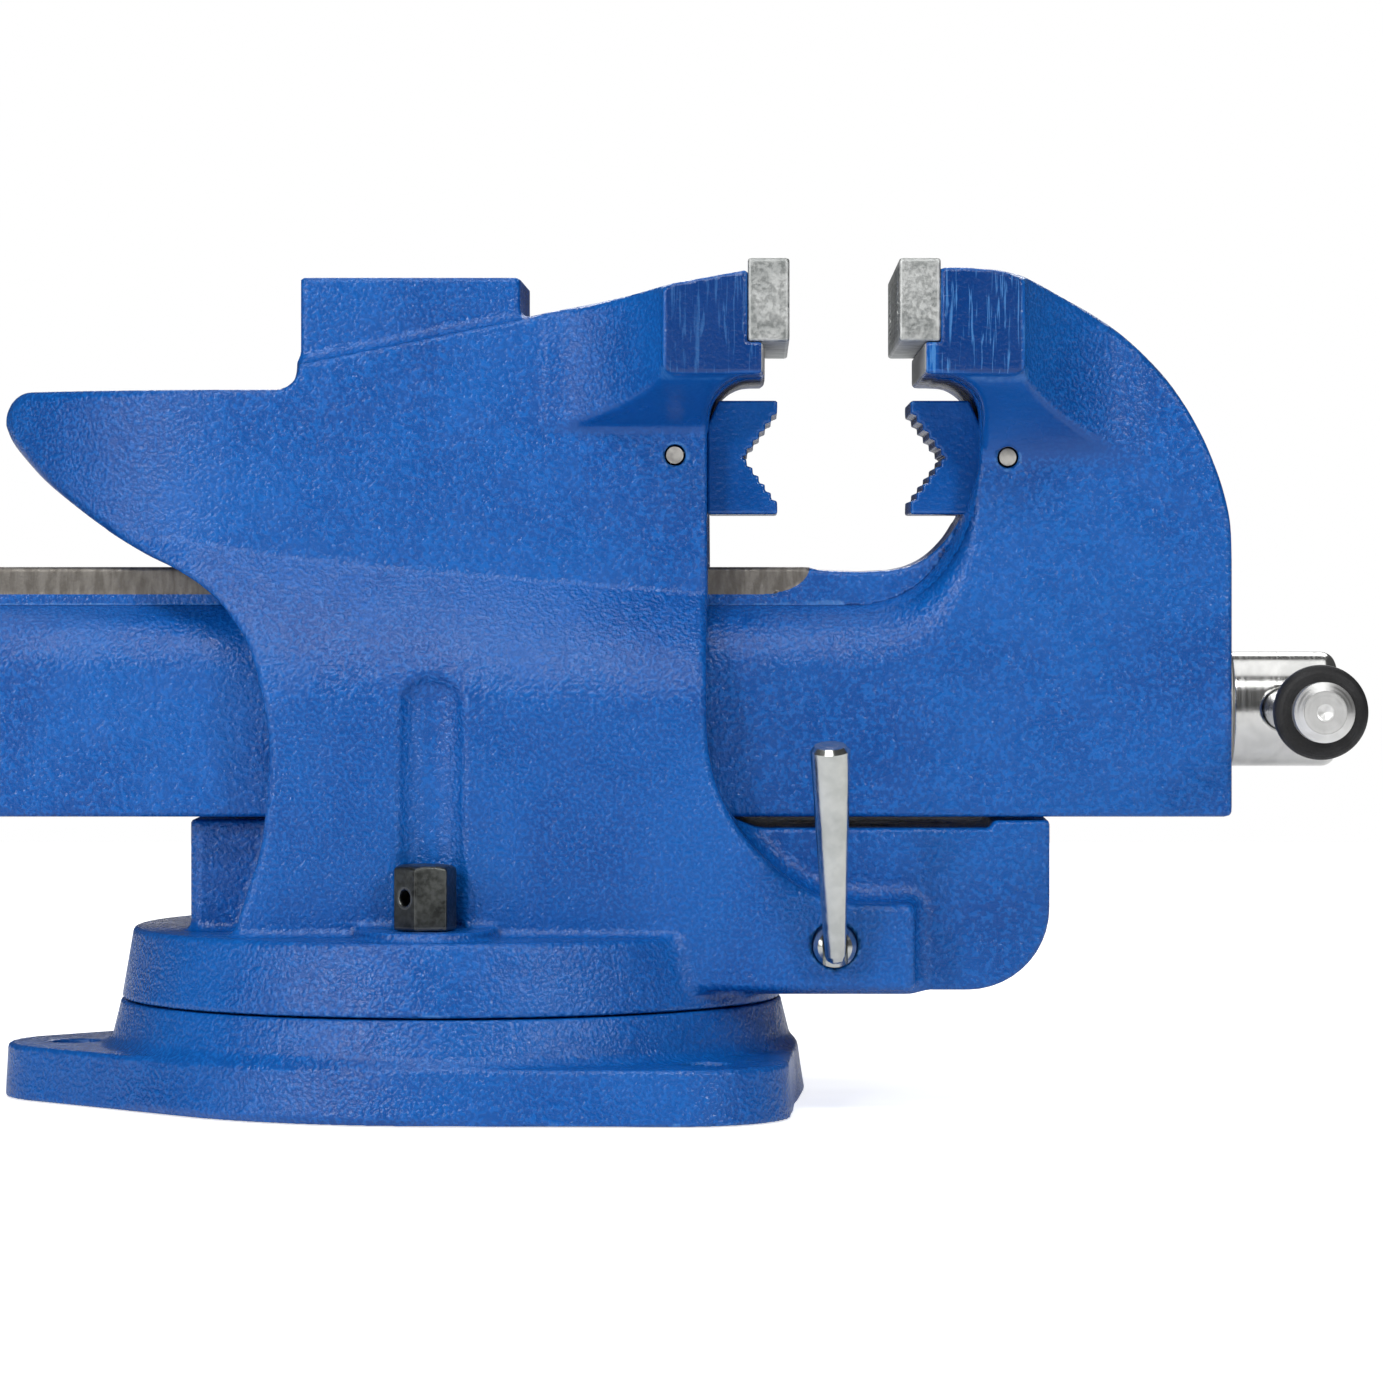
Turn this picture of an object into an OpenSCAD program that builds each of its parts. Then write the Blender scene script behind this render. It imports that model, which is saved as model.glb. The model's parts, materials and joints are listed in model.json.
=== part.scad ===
/* [Base] */
// Thickness of the bench plate
plate_t = 16; // [12:1:18]
// Radius of the round part of the bench plate
plate_r = 104; // [103:1:108]
// Distance from the swivel axis to the centre of each lug's round end
lug_d = 101; // [98:1:106]
// Radius of each lug's round end
lug_r = 32.6; // [28:0.2:34]
// Angle of the two front lugs either side of the screw's direction
lug_angle = 47; // [40:1:60]
// Radius of each bench bolt hole
bench_hole_r = 7.5; // [6:0.5:9]
// Distance from the swivel axis to each bench bolt hole
bench_hole_d = 113; // [110:1:116]
// Height of the swivel seam above the bench
seam_z = 30; // [29:0.5:31]
// Radius of the spigot that the body turns on
spigot_r = 45; // [40:1:48]
// Radius of the T-slot's centre line
slot_r = 72.1; // [70:0.1:74]

/* [Body casting] */
// Height of the top of the foot disc
foot_top = 51; // [50:0.5:53]
// Half width of the lower housing
housing_half = 65.5; // [60:0.5:66]
// Half width of the upper body, above the crease
upper_half = 45; // [42:1:46]
// Height of the anvil face above the bench
anvil_top = 243.1; // [240:0.1:246]
// Height of the horn's flat top
horn_top = 210; // [209.6:0.2:212]
// Half width of the clamp lugs at the front of the foot
clamp_half = 66; // [62:1:68]
// Length of the keel in front of the housing, from the swivel axis
keel_x = 177.2; // [170:0.2:180]

/* [Sliding jaw] */
// Height of the underside of the beam
beam_bottom = 85; // [84.9:0.1:85.2]
// Height of the machined top of the beam's rib
beam_top = 158; // [156:0.5:159]
// Half width of the beam
beam_half = 45; // [42:0.5:45]
// Length of the beam behind the swivel axis
beam_back = 207; // [190:1:220]
// Front face of the sliding jaw
front_x = 230.5; // [228:0.5:232]

/* [Jaws] */
// Width of the jaws
jaw_w = 150; // [140:1:160]
// Thickness of a jaw insert
insert_t = 12; // [10:0.5:12]
// Height of a jaw insert
insert_h = 24; // [22:0.5:25]
// Height of the underside of the inserts
insert_z = 223; // [222:0.5:224]
// Position of the fixed insert's back face
fixed_seat_x = 88.9; // [88:0.1:90]
// Position of the sliding insert's back face
sliding_seat_x = 144.4; // [144:0.1:146]
// Distance of each insert screw from the middle of the jaw
insert_screw_y = 50; // [40:1:55]
// Half width of the pipe jaws
pipe_half = 35; // [30:1:36]

/* [Main screw] */
// Height of the screw's axis above the bench
screw_z = 115.5; // [115:0.1:116]
// Radius of the screw's thread
thread_r = 13; // [12:0.5:13]
// Radius of the screw's journal in the front wall
journal_r = 14; // [13.5:0.1:14]
// Radius of the screw's head
head_r = 17.1; // [16.5:0.1:18]
// Outer end of the screw's head
head_x = 264.9; // [262:0.1:268]

/* [Handle bar] */
// Radius of the handle bar
bar_r = 6; // [5:0.25:6.5]
// Position of the bar along the screw
bar_x = 248; // [247:0.5:249]
// Half length of the handle from knob end to knob end
bar_half = 149.5; // [140:0.5:160]

/* [Swivel locks] */
// Position of the clamp screw along the main screw's direction
clamp_x = 114; // [110:1:118]
// Height of the clamp screw above the bench
clamp_z = 48.8; // [48:0.1:50]
// Length of the lock lever
lever_len = 60.5; // [55:0.5:66]
// Lean of the lock lever away from the vise
lever_lean = 15; // [10:1:20]
// Position of the two lock bolts along the main screw's direction
bolt_x = -4; // [-5:0.5:-3]
// Distance of the lock bolts from the centre plane
bolt_y = 72; // [71:0.5:73]
// Width across the flats of a lock bolt's head
bolt_af = 16; // [15:0.5:17]

/* [Hidden] */
$fn = 64;

blue = [0.09, 0.33, 0.68];
steel = [0.72, 0.72, 0.70];
dark_steel = [0.16, 0.16, 0.17];
rubber = [0.07, 0.07, 0.08];

// Running clearance of a turning or sliding fit, on the radius
fit = 0.05;
// Sink of one solid into the next where two are joined
joint = 0.5;
// Gap between the foot and the base at the seam
seam_gap = 0.3;

// Base
cone_low_r = 101.8;
cone_high_r = 98.4;
foot_high_r = 94.8;
spigot_top = seam_z + 18;
slot_mouth = 6;
slot_wide = 11.5;
slot_floor = 8;
slot_step = 20;
recess_depth = 10;
centre_r = 10;
centre_step = 26;
lug_angles = [180, lug_angle, -lug_angle];

// Body
pin_bore_r = 2.5;
fixed_pin = [67.5, 190.8];
sliding_pin = [164.9, 190.2];
way_z = beam_bottom - 0.2;
tunnel_gap = 0.4;
keel_low = 34.3;
lug_low = 35.4;
lug_high = 60.4;
lug_x = 137.2;
back_keel = [-75.3, -48];
pad_bottom = 213.7;
fixed_pad_back = 64.5;
fixed_throat_x = 76.9;
anvil = [-42.5, 22, 38];
channel_r = 11;
channel_top = 119;
boss_r = 20;
boss_top = 53.7;
slit_half = 1.5;
pedestal = [18, 76];
pedestal_half = 27;
pedestal_top = 99.5;

// Sliding jaw
shoulder_r = 17;
shoulder_z = 131;
rib_half = 30;
channel_half = 31;
channel_roof = 141;
wall_x = 205;
sliding_throat_x = 157.3;
sliding_pad_front = 168.6;

// Screw, nut and handle
screw_end = -120;
washer_t = 2.5;
nut_x = [20, 74];
nut_top = 134;
nut_bolt_y = 20.5;
nut_bolt_r = 4;
collar_x = [190, 200];
collar_r = 20;
spring_t = 1.4;
spring_rise = 1;
// Turn of the screw at rest, which lifts the front end of the bar
bar_tilt = 1;
knob_r = 8.4;
knob_len = 10.5;
ring_r = 13.2;
ring_len = 8.5;

// Swivel locks
lock_shank_r = 5;
bolt_head_top = 72.4;
clamp_r = 5;
clamp_head_r = 6.2;
lever_y = -clamp_half - 8.6;
lever_roll = 1.6;

// Points along an arc of radius r about c, from angle a to angle b
function arc(c, r, a, b, n) = [for (i = [0 : n]) c + r * [cos(a + (b - a) * i / n), sin(a + (b - a) * i / n)]];

// Extrudes an outline drawn in X and Z across the vise, to y either side
module across(y) {
    translate([0, y, 0])
        rotate([90, 0, 0])
            linear_extrude(height = 2 * y)
                children();
}

// Extrudes an outline drawn in Y and Z from x0 to x1
module along(x0, x1) {
    translate([x0, 0, 0])
        rotate([90, 0, 90])
            linear_extrude(height = x1 - x0)
                children();
}

// A round bar across the vise, from y0 to y1
module rod_y(x, z, r, y0, y1) {
    translate([x, y1, z])
        rotate([90, 0, 0])
            cylinder(r = r, h = y1 - y0);
}

// A round bar along the screw's direction, from x0 to x1
module rod_x(y, z, r, x0, x1) {
    translate([x0, y, z])
        rotate([0, 90, 0])
            cylinder(r = r, h = x1 - x0);
}

// Turns the screw's parts about its axis to their place at rest
module as_turned() {
    translate([0, 0, screw_z])
        rotate([-bar_tilt, 0, 0])
            translate([0, 0, -screw_z])
                children();
}

// A box between two corners
module block(low, high) {
    translate(low)
        cube(high - low);
}

// One lug of the bench plate: a round end joined to the disc by its two tangents
module plate_lug(angle) {
    swing = acos((plate_r - lug_r) / lug_d);
    edge = [cos(swing), sin(swing)];
    rotate([0, 0, angle]) {
        translate([lug_d, 0, 0])
            cylinder(r = lug_r, h = plate_t);
        linear_extrude(height = plate_t)
            polygon([plate_r * edge, [lug_d, 0] + lug_r * edge,
                     [lug_d + lug_r * edge[0], -lug_r * edge[1]], [plate_r * edge[0], -plate_r * edge[1]]]);
    }
}

module base() {
    color(blue)
        difference() {
            union() {
                cylinder(r = plate_r, h = plate_t);
                for (angle = lug_angles)
                    plate_lug(angle);
                rotate_extrude()
                    polygon([[0, plate_t - joint], [cone_low_r, plate_t - joint],
                             [cone_low_r, plate_t + 1], [cone_high_r, seam_z - seam_gap],
                             [spigot_r, seam_z - seam_gap], [spigot_r, spigot_top - 1.5],
                             [spigot_r - 1.5, spigot_top], [0, spigot_top]]);
            }
            rotate_extrude()
                polygon([[slot_r - slot_mouth, seam_z + 1], [slot_r - slot_mouth, slot_step],
                         [slot_r - slot_wide, slot_step], [slot_r - slot_wide, slot_floor],
                         [slot_r + slot_wide, slot_floor], [slot_r + slot_wide, slot_step],
                         [slot_r + slot_mouth, slot_step], [slot_r + slot_mouth, seam_z + 1]]);
            rotate_extrude()
                polygon([[spigot_r - 20, -1], [spigot_r + 7, -1],
                         [spigot_r + 4, recess_depth], [spigot_r - 17, recess_depth]]);
            // Centre hole, wider in the spigot
            translate([0, 0, -1])
                cylinder(r = centre_r, h = spigot_top + 2);
            translate([0, 0, centre_step])
                cylinder(r = centre_r + 4, h = spigot_top);
            for (angle = lug_angles)
                rotate([0, 0, angle])
                    translate([bench_hole_d, 0, -1])
                        cylinder(r = bench_hole_r, h = plate_t + 2);
        }
}

// The beam's cross-section in Y and Z, grown by a clearance
module beam_section(grow) {
    half = beam_half + grow;
    rib = rib_half + grow;
    low = beam_bottom - 0.2;
    turn = arc([beam_half - shoulder_r, shoulder_z], shoulder_r + grow, 0, 80, 8);
    mirrored = [for (i = [len(turn) - 1 : -1 : 0]) [-turn[i][0], turn[i][1]]];
    bottom = grow > 0 ? low : beam_bottom;
    polygon(concat([[-half, bottom], [half, bottom]], turn,
                   [[rib, shoulder_z + shoulder_r + grow], [rib, beam_top + grow],
                    [-rib, beam_top + grow], [-rib, shoulder_z + shoulder_r + grow]], mirrored));
}

// Side outline of the lower housing, from the foot to the crease
module housing_outline() {
    polygon([[-60, foot_top - joint], [-54, 67], [-50.6, 82], [-50.1, 97], [-51.5, 115],
             [-57.5, 134], [-71.4, 151.3], [-91.9, 166], [-40, 166], [fixed_throat_x, 151],
             [fixed_throat_x, 113], [79, 100], [86.6, 82], [101, 67.6], [114, lug_high], [114, foot_top - joint]]);
}

// Side outline of the upper body: horn, shoulder, ridge to the jaw and throat
module upper_outline() {
    throat = arc([fixed_throat_x + 13, 200.7], 13, 180, 90, 6);
    polygon(concat([[-71.4, 150], [-88, 162.2], [-100, 169.2], [-110.3, 176.4], [-119.4, 183.5],
                    [-129.7, 194.3], [-132.9, 201.5], [-131.9, 205.1], [-128.2, 208.7], [-124, horn_top],
                    [anvil[0], horn_top],
                    [anvil[0], 226], [anvil[1], 230], [fixed_pad_back + 3, 239], [fixed_seat_x, 242],
                    [fixed_seat_x, pad_bottom]],
                   [for (i = [len(throat) - 1 : -1 : 0]) throat[i]],
                   [[fixed_throat_x, 140]]));
}

// Plan outline that narrows the upper body towards the tip of the horn
module upper_plan() {
    polygon([[-133.5, -12], [-120, -26], [-95, -37], [-60, -upper_half], [fixed_seat_x, -upper_half],
             [fixed_seat_x, upper_half], [-60, upper_half], [-95, 37], [-120, 26], [-133.5, 12]]);
}

// Jaw pad with the flare that blends it into the body's side; side is 1 in front of the seat, -1 behind
module jaw_pad(seat, back, fade, top) {
    toward = seat > back ? 1 : -1;
    block([min(seat, back), -jaw_w / 2, pad_bottom], [max(seat, back), jaw_w / 2, top]);
    block([min(back, seat + toward * 4.3), -jaw_w / 2, pad_bottom],
          [max(back, seat + toward * 4.3), jaw_w / 2, insert_z]);
    for (side = [1, -1])
        intersection() {
            linear_extrude(height = 300)
                polygon([[back + toward, side * (upper_half - 3)], [fade, side * (upper_half - 3)],
                         [fade, side * upper_half], [back - toward * 14, side * (upper_half + 8)],
                         [back - toward * 5, side * (upper_half + 18)], [back, side * (jaw_w / 2 - 5)],
                         [back + toward, side * (jaw_w / 2 - 2)]]);
            across(jaw_w)
                polygon([[fade, 199], [back, pad_bottom], [back + toward, pad_bottom],
                         [back + toward, top - 6], [back, top - 7], [fade, 226]]);
        }
}

module fixed_jaw() {
    color(blue)
        difference() {
            union() {
                // Foot disc with the two bosses under the lock bolts
                rotate_extrude()
                    polygon([[0, seam_z], [cone_high_r, seam_z], [foot_high_r, foot_top], [0, foot_top]]);
                for (side = [1, -1])
                    intersection() {
                        translate([bolt_x, side * bolt_y, foot_top - joint])
                            cylinder(r = boss_r, h = boss_top - foot_top + joint);
                        cylinder(r = foot_high_r - 0.5, h = boss_top + 1);
                    }
                across(housing_half)
                    housing_outline();
                intersection() {
                    across(upper_half + 1)
                        upper_outline();
                    linear_extrude(height = 300)
                        upper_plan();
                }
                block([anvil[0], -anvil[2], horn_top - 12], [anvil[1], anvil[2], anvil_top]);
                jaw_pad(fixed_seat_x, fixed_pad_back, 28, anvil_top);
                // Clamp lugs and keels
                block([60, -clamp_half, lug_low], [lug_x, clamp_half, lug_high]);
                block([60, -beam_half, keel_low], [keel_x, beam_half, way_z]);
                block([back_keel[0], -35, foot_top - joint], [back_keel[1], 35, way_z]);
                // Pedestal that carries the nut inside the beam
                block([pedestal[0], -pedestal_half, way_z - 10], [pedestal[1], pedestal_half, pedestal_top]);
            }
            // Tunnel for the beam, left around the pedestal
            difference() {
                along(-beam_back, front_x)
                    beam_section(tunnel_gap);
                block([pedestal[0], -pedestal_half, 0], [pedestal[1], pedestal_half, pedestal_top]);
            }
            // Relief along the top of the front keel
            block([85, -beam_half - 5, 81.7], [161, beam_half + 5, way_z + 1]);
            // Rounded lower corner of the front keel
            across(beam_half + 1)
                difference() {
                    translate([keel_x - 24, keel_low - 1])
                        square([26, 25]);
                    translate([keel_x - 24, keel_low + 24])
                        circle(r = 24);
                }
            // Socket for the spigot, and the slit that lets it clamp
            translate([0, 0, seam_z - 1])
                cylinder(r = spigot_r + fit, h = spigot_top + 1.5 - seam_z);
            block([spigot_r - 5, -slit_half, seam_z - 1], [keel_x + 1, slit_half, 70]);
            rod_y(clamp_x, clamp_z, clamp_r + fit, -clamp_half - 1, clamp_half + 1);
            rod_y(clamp_x, clamp_z, clamp_head_r + 0.5, -clamp_half - 1, -clamp_half + 3);
            // Lock bolt holes and the finger channels above them
            for (side = [1, -1]) {
                translate([bolt_x, side * bolt_y, seam_z - 1])
                    cylinder(r = lock_shank_r + fit, h = 40);
                translate([bolt_x, side * bolt_y, boss_top])
                    cylinder(r = channel_r, h = channel_top - boss_top);
                translate([bolt_x, side * bolt_y, channel_top])
                    sphere(r = channel_r);
            }
            // Pocket for the pipe jaw's tang, and its pin
            block([58, -20.2, 181.8], [fixed_throat_x + 1, 20.2, 199.8]);
            rod_y(fixed_pin[0], fixed_pin[1], pin_bore_r + fit, -upper_half - 5, upper_half + 5);
            // Tapped holes for the insert screws and the nut bolts
            for (side = [1, -1]) {
                rod_x(side * insert_screw_y, insert_z + insert_h / 2, 4 + fit, fixed_seat_x - 16, fixed_seat_x + 1);
                translate([(nut_x[0] + nut_x[1]) / 2, side * nut_bolt_y, pedestal_top - 20])
                    cylinder(r = nut_bolt_r + fit, h = 21);
            }
        }
}

// Side outline of the sliding jaw above its beam: throat, jaw and rounded back
module sliding_outline() {
    throat = arc([144.4, 171.3], 13, -90, 0, 6);
    polygon(concat([[125, 150], [125.7, 157.2], [134, 158]], throat,
                   [[sliding_throat_x, 200], [154, 208], [sliding_seat_x + 2, pad_bottom],
                    [sliding_seat_x, pad_bottom + 2], [sliding_seat_x, 244.3]],
                   [[160.6, 245], [169.6, 241.5], [184.1, 234.5], [195.3, 227.5], [203.7, 220.4],
                    [210.7, 213.4], [216.1, 206.4], [220.3, 199.3], [223.7, 192.3], [227.6, 181.8],
                    [230, 171.2], [front_x, 162]],
                   [[front_x, beam_bottom], [180, beam_bottom], [180, 150]]));
}

module sliding_jaw() {
    color(blue)
        difference() {
            union() {
                along(-beam_back, front_x - 20)
                    beam_section(0);
                across(beam_half)
                    sliding_outline();
                jaw_pad(sliding_seat_x, sliding_pad_front, 202, 244.1);
            }
            // Channel under the beam, which the nut and the screw run in
            block([-beam_back - 1, -channel_half, 0], [wall_x, channel_half, channel_roof]);
            rod_x(0, screw_z, journal_r + fit, wall_x - 1, front_x + 1);
            // Pocket for the pipe jaw's tang, and its pin
            block([sliding_throat_x - 1, -20.2, 181.2], [175.5, 20.2, 199.2]);
            rod_y(sliding_pin[0], sliding_pin[1], pin_bore_r + fit, -beam_half - 1, beam_half + 1);
            for (side = [1, -1])
                rod_x(side * insert_screw_y, insert_z + insert_h / 2, 4 + fit,
                      sliding_seat_x - 1, sliding_seat_x + 16);
        }
}

// Jaw insert with its back face at x, gripping towards dir
module insert(x, dir) {
    face = x + dir * insert_t;
    color(steel)
        difference() {
            block([min(x, face), -jaw_w / 2, insert_z], [max(x, face), jaw_w / 2, insert_z + insert_h]);
            for (side = [1, -1]) {
                rod_x(side * insert_screw_y, insert_z + insert_h / 2, 4.2, min(x, face) - 1, max(x, face) + 1);
                rod_x(side * insert_screw_y, insert_z + insert_h / 2, 6.7,
                      min(face, face - dir * 7), max(face, face - dir * 7) + (dir > 0 ? 1 : 0));
                rod_x(side * insert_screw_y, insert_z + insert_h / 2, 6.7, min(face, face - dir), max(face, face - dir));
            }
        }
}

// Two socket-head screws that hold an insert
module insert_screws(x, dir) {
    head = x + dir * (insert_t - 1);
    color(dark_steel)
        for (side = [1, -1])
            difference() {
                union() {
                    rod_x(side * insert_screw_y, insert_z + insert_h / 2, 6.5,
                          min(head, head - dir * 6), max(head, head - dir * 6));
                    rod_x(side * insert_screw_y, insert_z + insert_h / 2, 4,
                          min(x - dir * 14, head - dir * 5), max(x - dir * 14, head - dir * 5));
                }
                translate([head - dir * 3.5, side * insert_screw_y, insert_z + insert_h / 2])
                    rotate([0, dir * 90, 0])
                        cylinder(r = 3.4, h = 5, $fn = 6);
            }
}

// Pipe jaw outline: teeth down both flanks of a V, and a heel that clears the fillet above it
module pipe_outline(back, dir, mid) {
    steps = 6;
    half_h = 16.7;
    tip = 20.6;
    valley = 9.8;
    flank = [for (i = [0 : steps - 1]) each
             [[tip - (tip - valley) * i / steps, half_h - 2 - (half_h - 2) * i / steps],
              [tip - (tip - valley) * i / steps - 0.1, half_h - 2 - (half_h - 2) * (i + 0.75) / steps]]];
    upper = concat([[tip, half_h]], flank, [[valley, 0]]);
    lower = [for (i = [len(upper) - 2 : -1 : 0]) [upper[i][0], -upper[i][1]]];
    heel = [[0, -half_h], [0, half_h - 7.4], [3.4, half_h]];
    polygon([for (p = concat(upper, lower, heel)) [back + dir * p[0], mid + p[1]]]);
}

module pipe_jaw(back, dir, mid, pin) {
    color(blue)
        difference() {
            union() {
                across(pipe_half)
                    pipe_outline(back, dir, mid);
                block([min(back + dir, pin[0] - dir * 6), -20, pin[1] - 8.5],
                      [max(back + dir, pin[0] - dir * 6), 20, pin[1] + 8.5]);
            }
            rod_y(pin[0], pin[1], pin_bore_r + fit, -40, 40);
        }
}

module pipe_jaw_pin(pin) {
    color(steel)
        rod_y(pin[0], pin[1], pin_bore_r, -upper_half + 0.3, upper_half - 0.3);
}

module main_screw() {
    color(steel)
        difference() {
            rotate([0, 90, 0])
                translate([-screw_z, 0, 0])
                    rotate_extrude()
                        polygon([[0, screw_end], [thread_r - 2, screw_end], [thread_r, screw_end + 2],
                                 [thread_r, collar_x[0] - 8], [journal_r, collar_x[0] - 8],
                                 [journal_r, front_x + washer_t], [head_r - 1, front_x + washer_t],
                                 [head_r, front_x + washer_t + 1], [head_r, head_x - 2.5],
                                 [head_r - 2.5, head_x], [0, head_x]]);
            as_turned()
                rod_y(bar_x, screw_z, bar_r + 0.08, -head_r - 1, head_r + 1);
            translate([(collar_x[0] + collar_x[1]) / 2, 0, screw_z - collar_r - 1])
                cylinder(r = 2.5, h = 2 * collar_r + 2);
        }
}

module screw_nut() {
    half = 27.5;
    mid = (nut_x[0] + nut_x[1]) / 2;
    color([0.42, 0.42, 0.42])
        difference() {
            along(nut_x[0], nut_x[1])
                polygon([[-half, pedestal_top], [half, pedestal_top], [half, nut_top - 8],
                         [half - 6, nut_top], [6 - half, nut_top], [-half, nut_top - 8]]);
            rod_x(0, screw_z, thread_r + fit, nut_x[0] - 1, nut_x[1] + 1);
            for (side = [1, -1]) {
                translate([mid, side * nut_bolt_y, pedestal_top - 1])
                    cylinder(r = nut_bolt_r + fit, h = 60);
                translate([mid, side * nut_bolt_y, nut_top - 8])
                    cylinder(r = 6.6, h = 20);
            }
        }
}

module nut_bolts() {
    mid = (nut_x[0] + nut_x[1]) / 2;
    color(dark_steel)
        for (side = [1, -1])
            translate([mid, side * nut_bolt_y, 0])
                difference() {
                    union() {
                        translate([0, 0, pedestal_top - 18])
                            cylinder(r = nut_bolt_r, h = nut_top - 8 - pedestal_top + 19);
                        translate([0, 0, nut_top - 8])
                            cylinder(r = 6.4, h = 7);
                    }
                    translate([0, 0, nut_top - 5])
                        cylinder(r = 3.2, h = 8, $fn = 6);
                }
}

module thrust_washer() {
    color(steel)
        difference() {
            rod_x(0, screw_z, head_r + 1.4, front_x, front_x + washer_t);
            rod_x(0, screw_z, journal_r + 0.1, front_x - 1, front_x + washer_t + 1);
        }
}

// Conical disc spring about the screw's axis, with its rim at x and rising by dir towards its bore
module disc_spring(x, dir) {
    translate([x, 0, screw_z])
        rotate([0, dir * 90, 0])
            rotate_extrude()
                polygon([[collar_r, 0], [collar_r, spring_t], [journal_r + 0.3, spring_t + spring_rise],
                         [journal_r + 0.3, spring_rise]]);
}

module takeup_spring() {
    color(steel) {
        disc_spring(collar_x[1] + fit, 1);
        disc_spring(wall_x - fit, -1);
    }
}

module retaining_collar() {
    color(steel)
        difference() {
            rod_x(0, screw_z, collar_r, collar_x[0], collar_x[1]);
            rod_x(0, screw_z, journal_r + fit, collar_x[0] - 1, collar_x[1] + 1);
            translate([(collar_x[0] + collar_x[1]) / 2, 0, screw_z - collar_r - 1])
                cylinder(r = 2.5, h = 2 * collar_r + 2);
        }
}

module collar_pin() {
    color(dark_steel)
        translate([(collar_x[0] + collar_x[1]) / 2, 0, screw_z - collar_r + 0.5])
            cylinder(r = 2.45, h = 2 * collar_r - 1);
}

module handle_bar() {
    color(steel)
        as_turned()
            rod_y(bar_x, screw_z, bar_r, -bar_half + 4, bar_half - 4);
}

// Chamfered end knob with a shallow centre dimple; side is -1 in front, 1 behind
module handle_knob(side) {
    color(steel)
        as_turned()
            translate([bar_x, side * bar_half, screw_z])
                rotate([90 * side, 0, 0])
                    rotate_extrude()
                        polygon([[0, 1.2], [2, 0.1], [2.4, 0], [knob_r - 2.4, 0], [knob_r, 2.4],
                                 [knob_r, knob_len], [bar_r + fit, knob_len], [bar_r + fit, 4], [0, 4]]);
}

// Rubber buffer ring with rounded edges, pushed up against the knob
module handle_ring(side) {
    edge = 3.4;
    color(rubber)
        as_turned()
            translate([bar_x, side * (bar_half - knob_len - ring_len), screw_z])
                rotate([-90 * side, 0, 0])
                    rotate_extrude()
                        polygon(concat([[bar_r + fit, 0]], arc([ring_r - edge, edge], edge, -90, 0, 5),
                                       arc([ring_r - edge, ring_len - edge], edge, 0, 90, 5),
                                       [[bar_r + fit, ring_len]]));
}

module clamp_screw() {
    color(steel)
        difference() {
            union() {
                rod_y(clamp_x, clamp_z, clamp_r, -clamp_half - 5, clamp_half + 12);
                translate([clamp_x, -clamp_half + 1, clamp_z])
                    rotate([90, 0, 0])
                        rotate_extrude()
                            polygon([[0, 0], [clamp_head_r, 0], [clamp_head_r, 7], [clamp_head_r - 1.2, 9.2],
                                     [clamp_head_r - 3, 10.4], [0, 11]]);
            }
            // Notch that holds the lever
            translate([clamp_x, lever_y, clamp_z])
                rotate([lever_lean, -lever_roll, 0])
                    translate([0, 0, -8])
                        cylinder(r = 3.65, h = 30);
        }
}

// Tapered lever with a rounded lower end
module lock_lever() {
    color(steel)
        translate([clamp_x, lever_y, clamp_z])
            rotate([lever_lean, -lever_roll, 0])
                rotate_extrude()
                    polygon([[0, -4.8], [1.5, -4.6], [2.6, -3.8], [3.2, -2.4], [3.5, 6],
                             [5.8, lever_len - 1.4], [4.6, lever_len], [0, lever_len]]);
}

module clamp_nut() {
    color(dark_steel)
        difference() {
            translate([clamp_x, clamp_half + 8, clamp_z])
                rotate([90, 0, 0])
                    cylinder(r = 17 / sqrt(3), h = 8, $fn = 6);
            rod_y(clamp_x, clamp_z, clamp_r + fit, clamp_half - 1, clamp_half + 9);
        }
}

// Hex lock bolt with a cross hole in its head; side is -1 in front, 1 behind
module lock_bolt(side) {
    color(dark_steel)
        translate([bolt_x, side * bolt_y, 0])
            rotate([0, 0, side * -15])
                difference() {
                    union() {
                        intersection() {
                            translate([0, 0, boss_top])
                                cylinder(r = bolt_af / sqrt(3), h = bolt_head_top - boss_top, $fn = 6);
                            translate([0, 0, boss_top - 1])
                                rotate_extrude()
                                    polygon([[0, 0], [12, 0], [12, 16.2], [7.2, bolt_head_top - boss_top + 1],
                                             [0, bolt_head_top - boss_top + 1]]);
                        }
                        translate([0, 0, 11])
                            cylinder(r = lock_shank_r, h = boss_top - 10);
                    }
                    rotate([0, 0, 30])
                        rod_x(0, boss_top + 9.3, 2.3, -12, 12);
                }
}

// T-nut that slides round the base's slot; side is -1 in front, 1 behind
module t_nut(side) {
    color(steel)
        translate([bolt_x, side * bolt_y, 0])
            rotate([0, 0, atan2(side * bolt_y, bolt_x)])
                difference() {
                    union() {
                        block([-10.5, -9, slot_floor + 1.5], [10.5, 9, slot_step - 0.2]);
                        block([-5.3, -7, slot_step - 1], [5.3, 7, slot_step + 5]);
                    }
                    translate([0, 0, slot_floor])
                        cylinder(r = lock_shank_r + fit, h = 20);
                }
}

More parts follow.
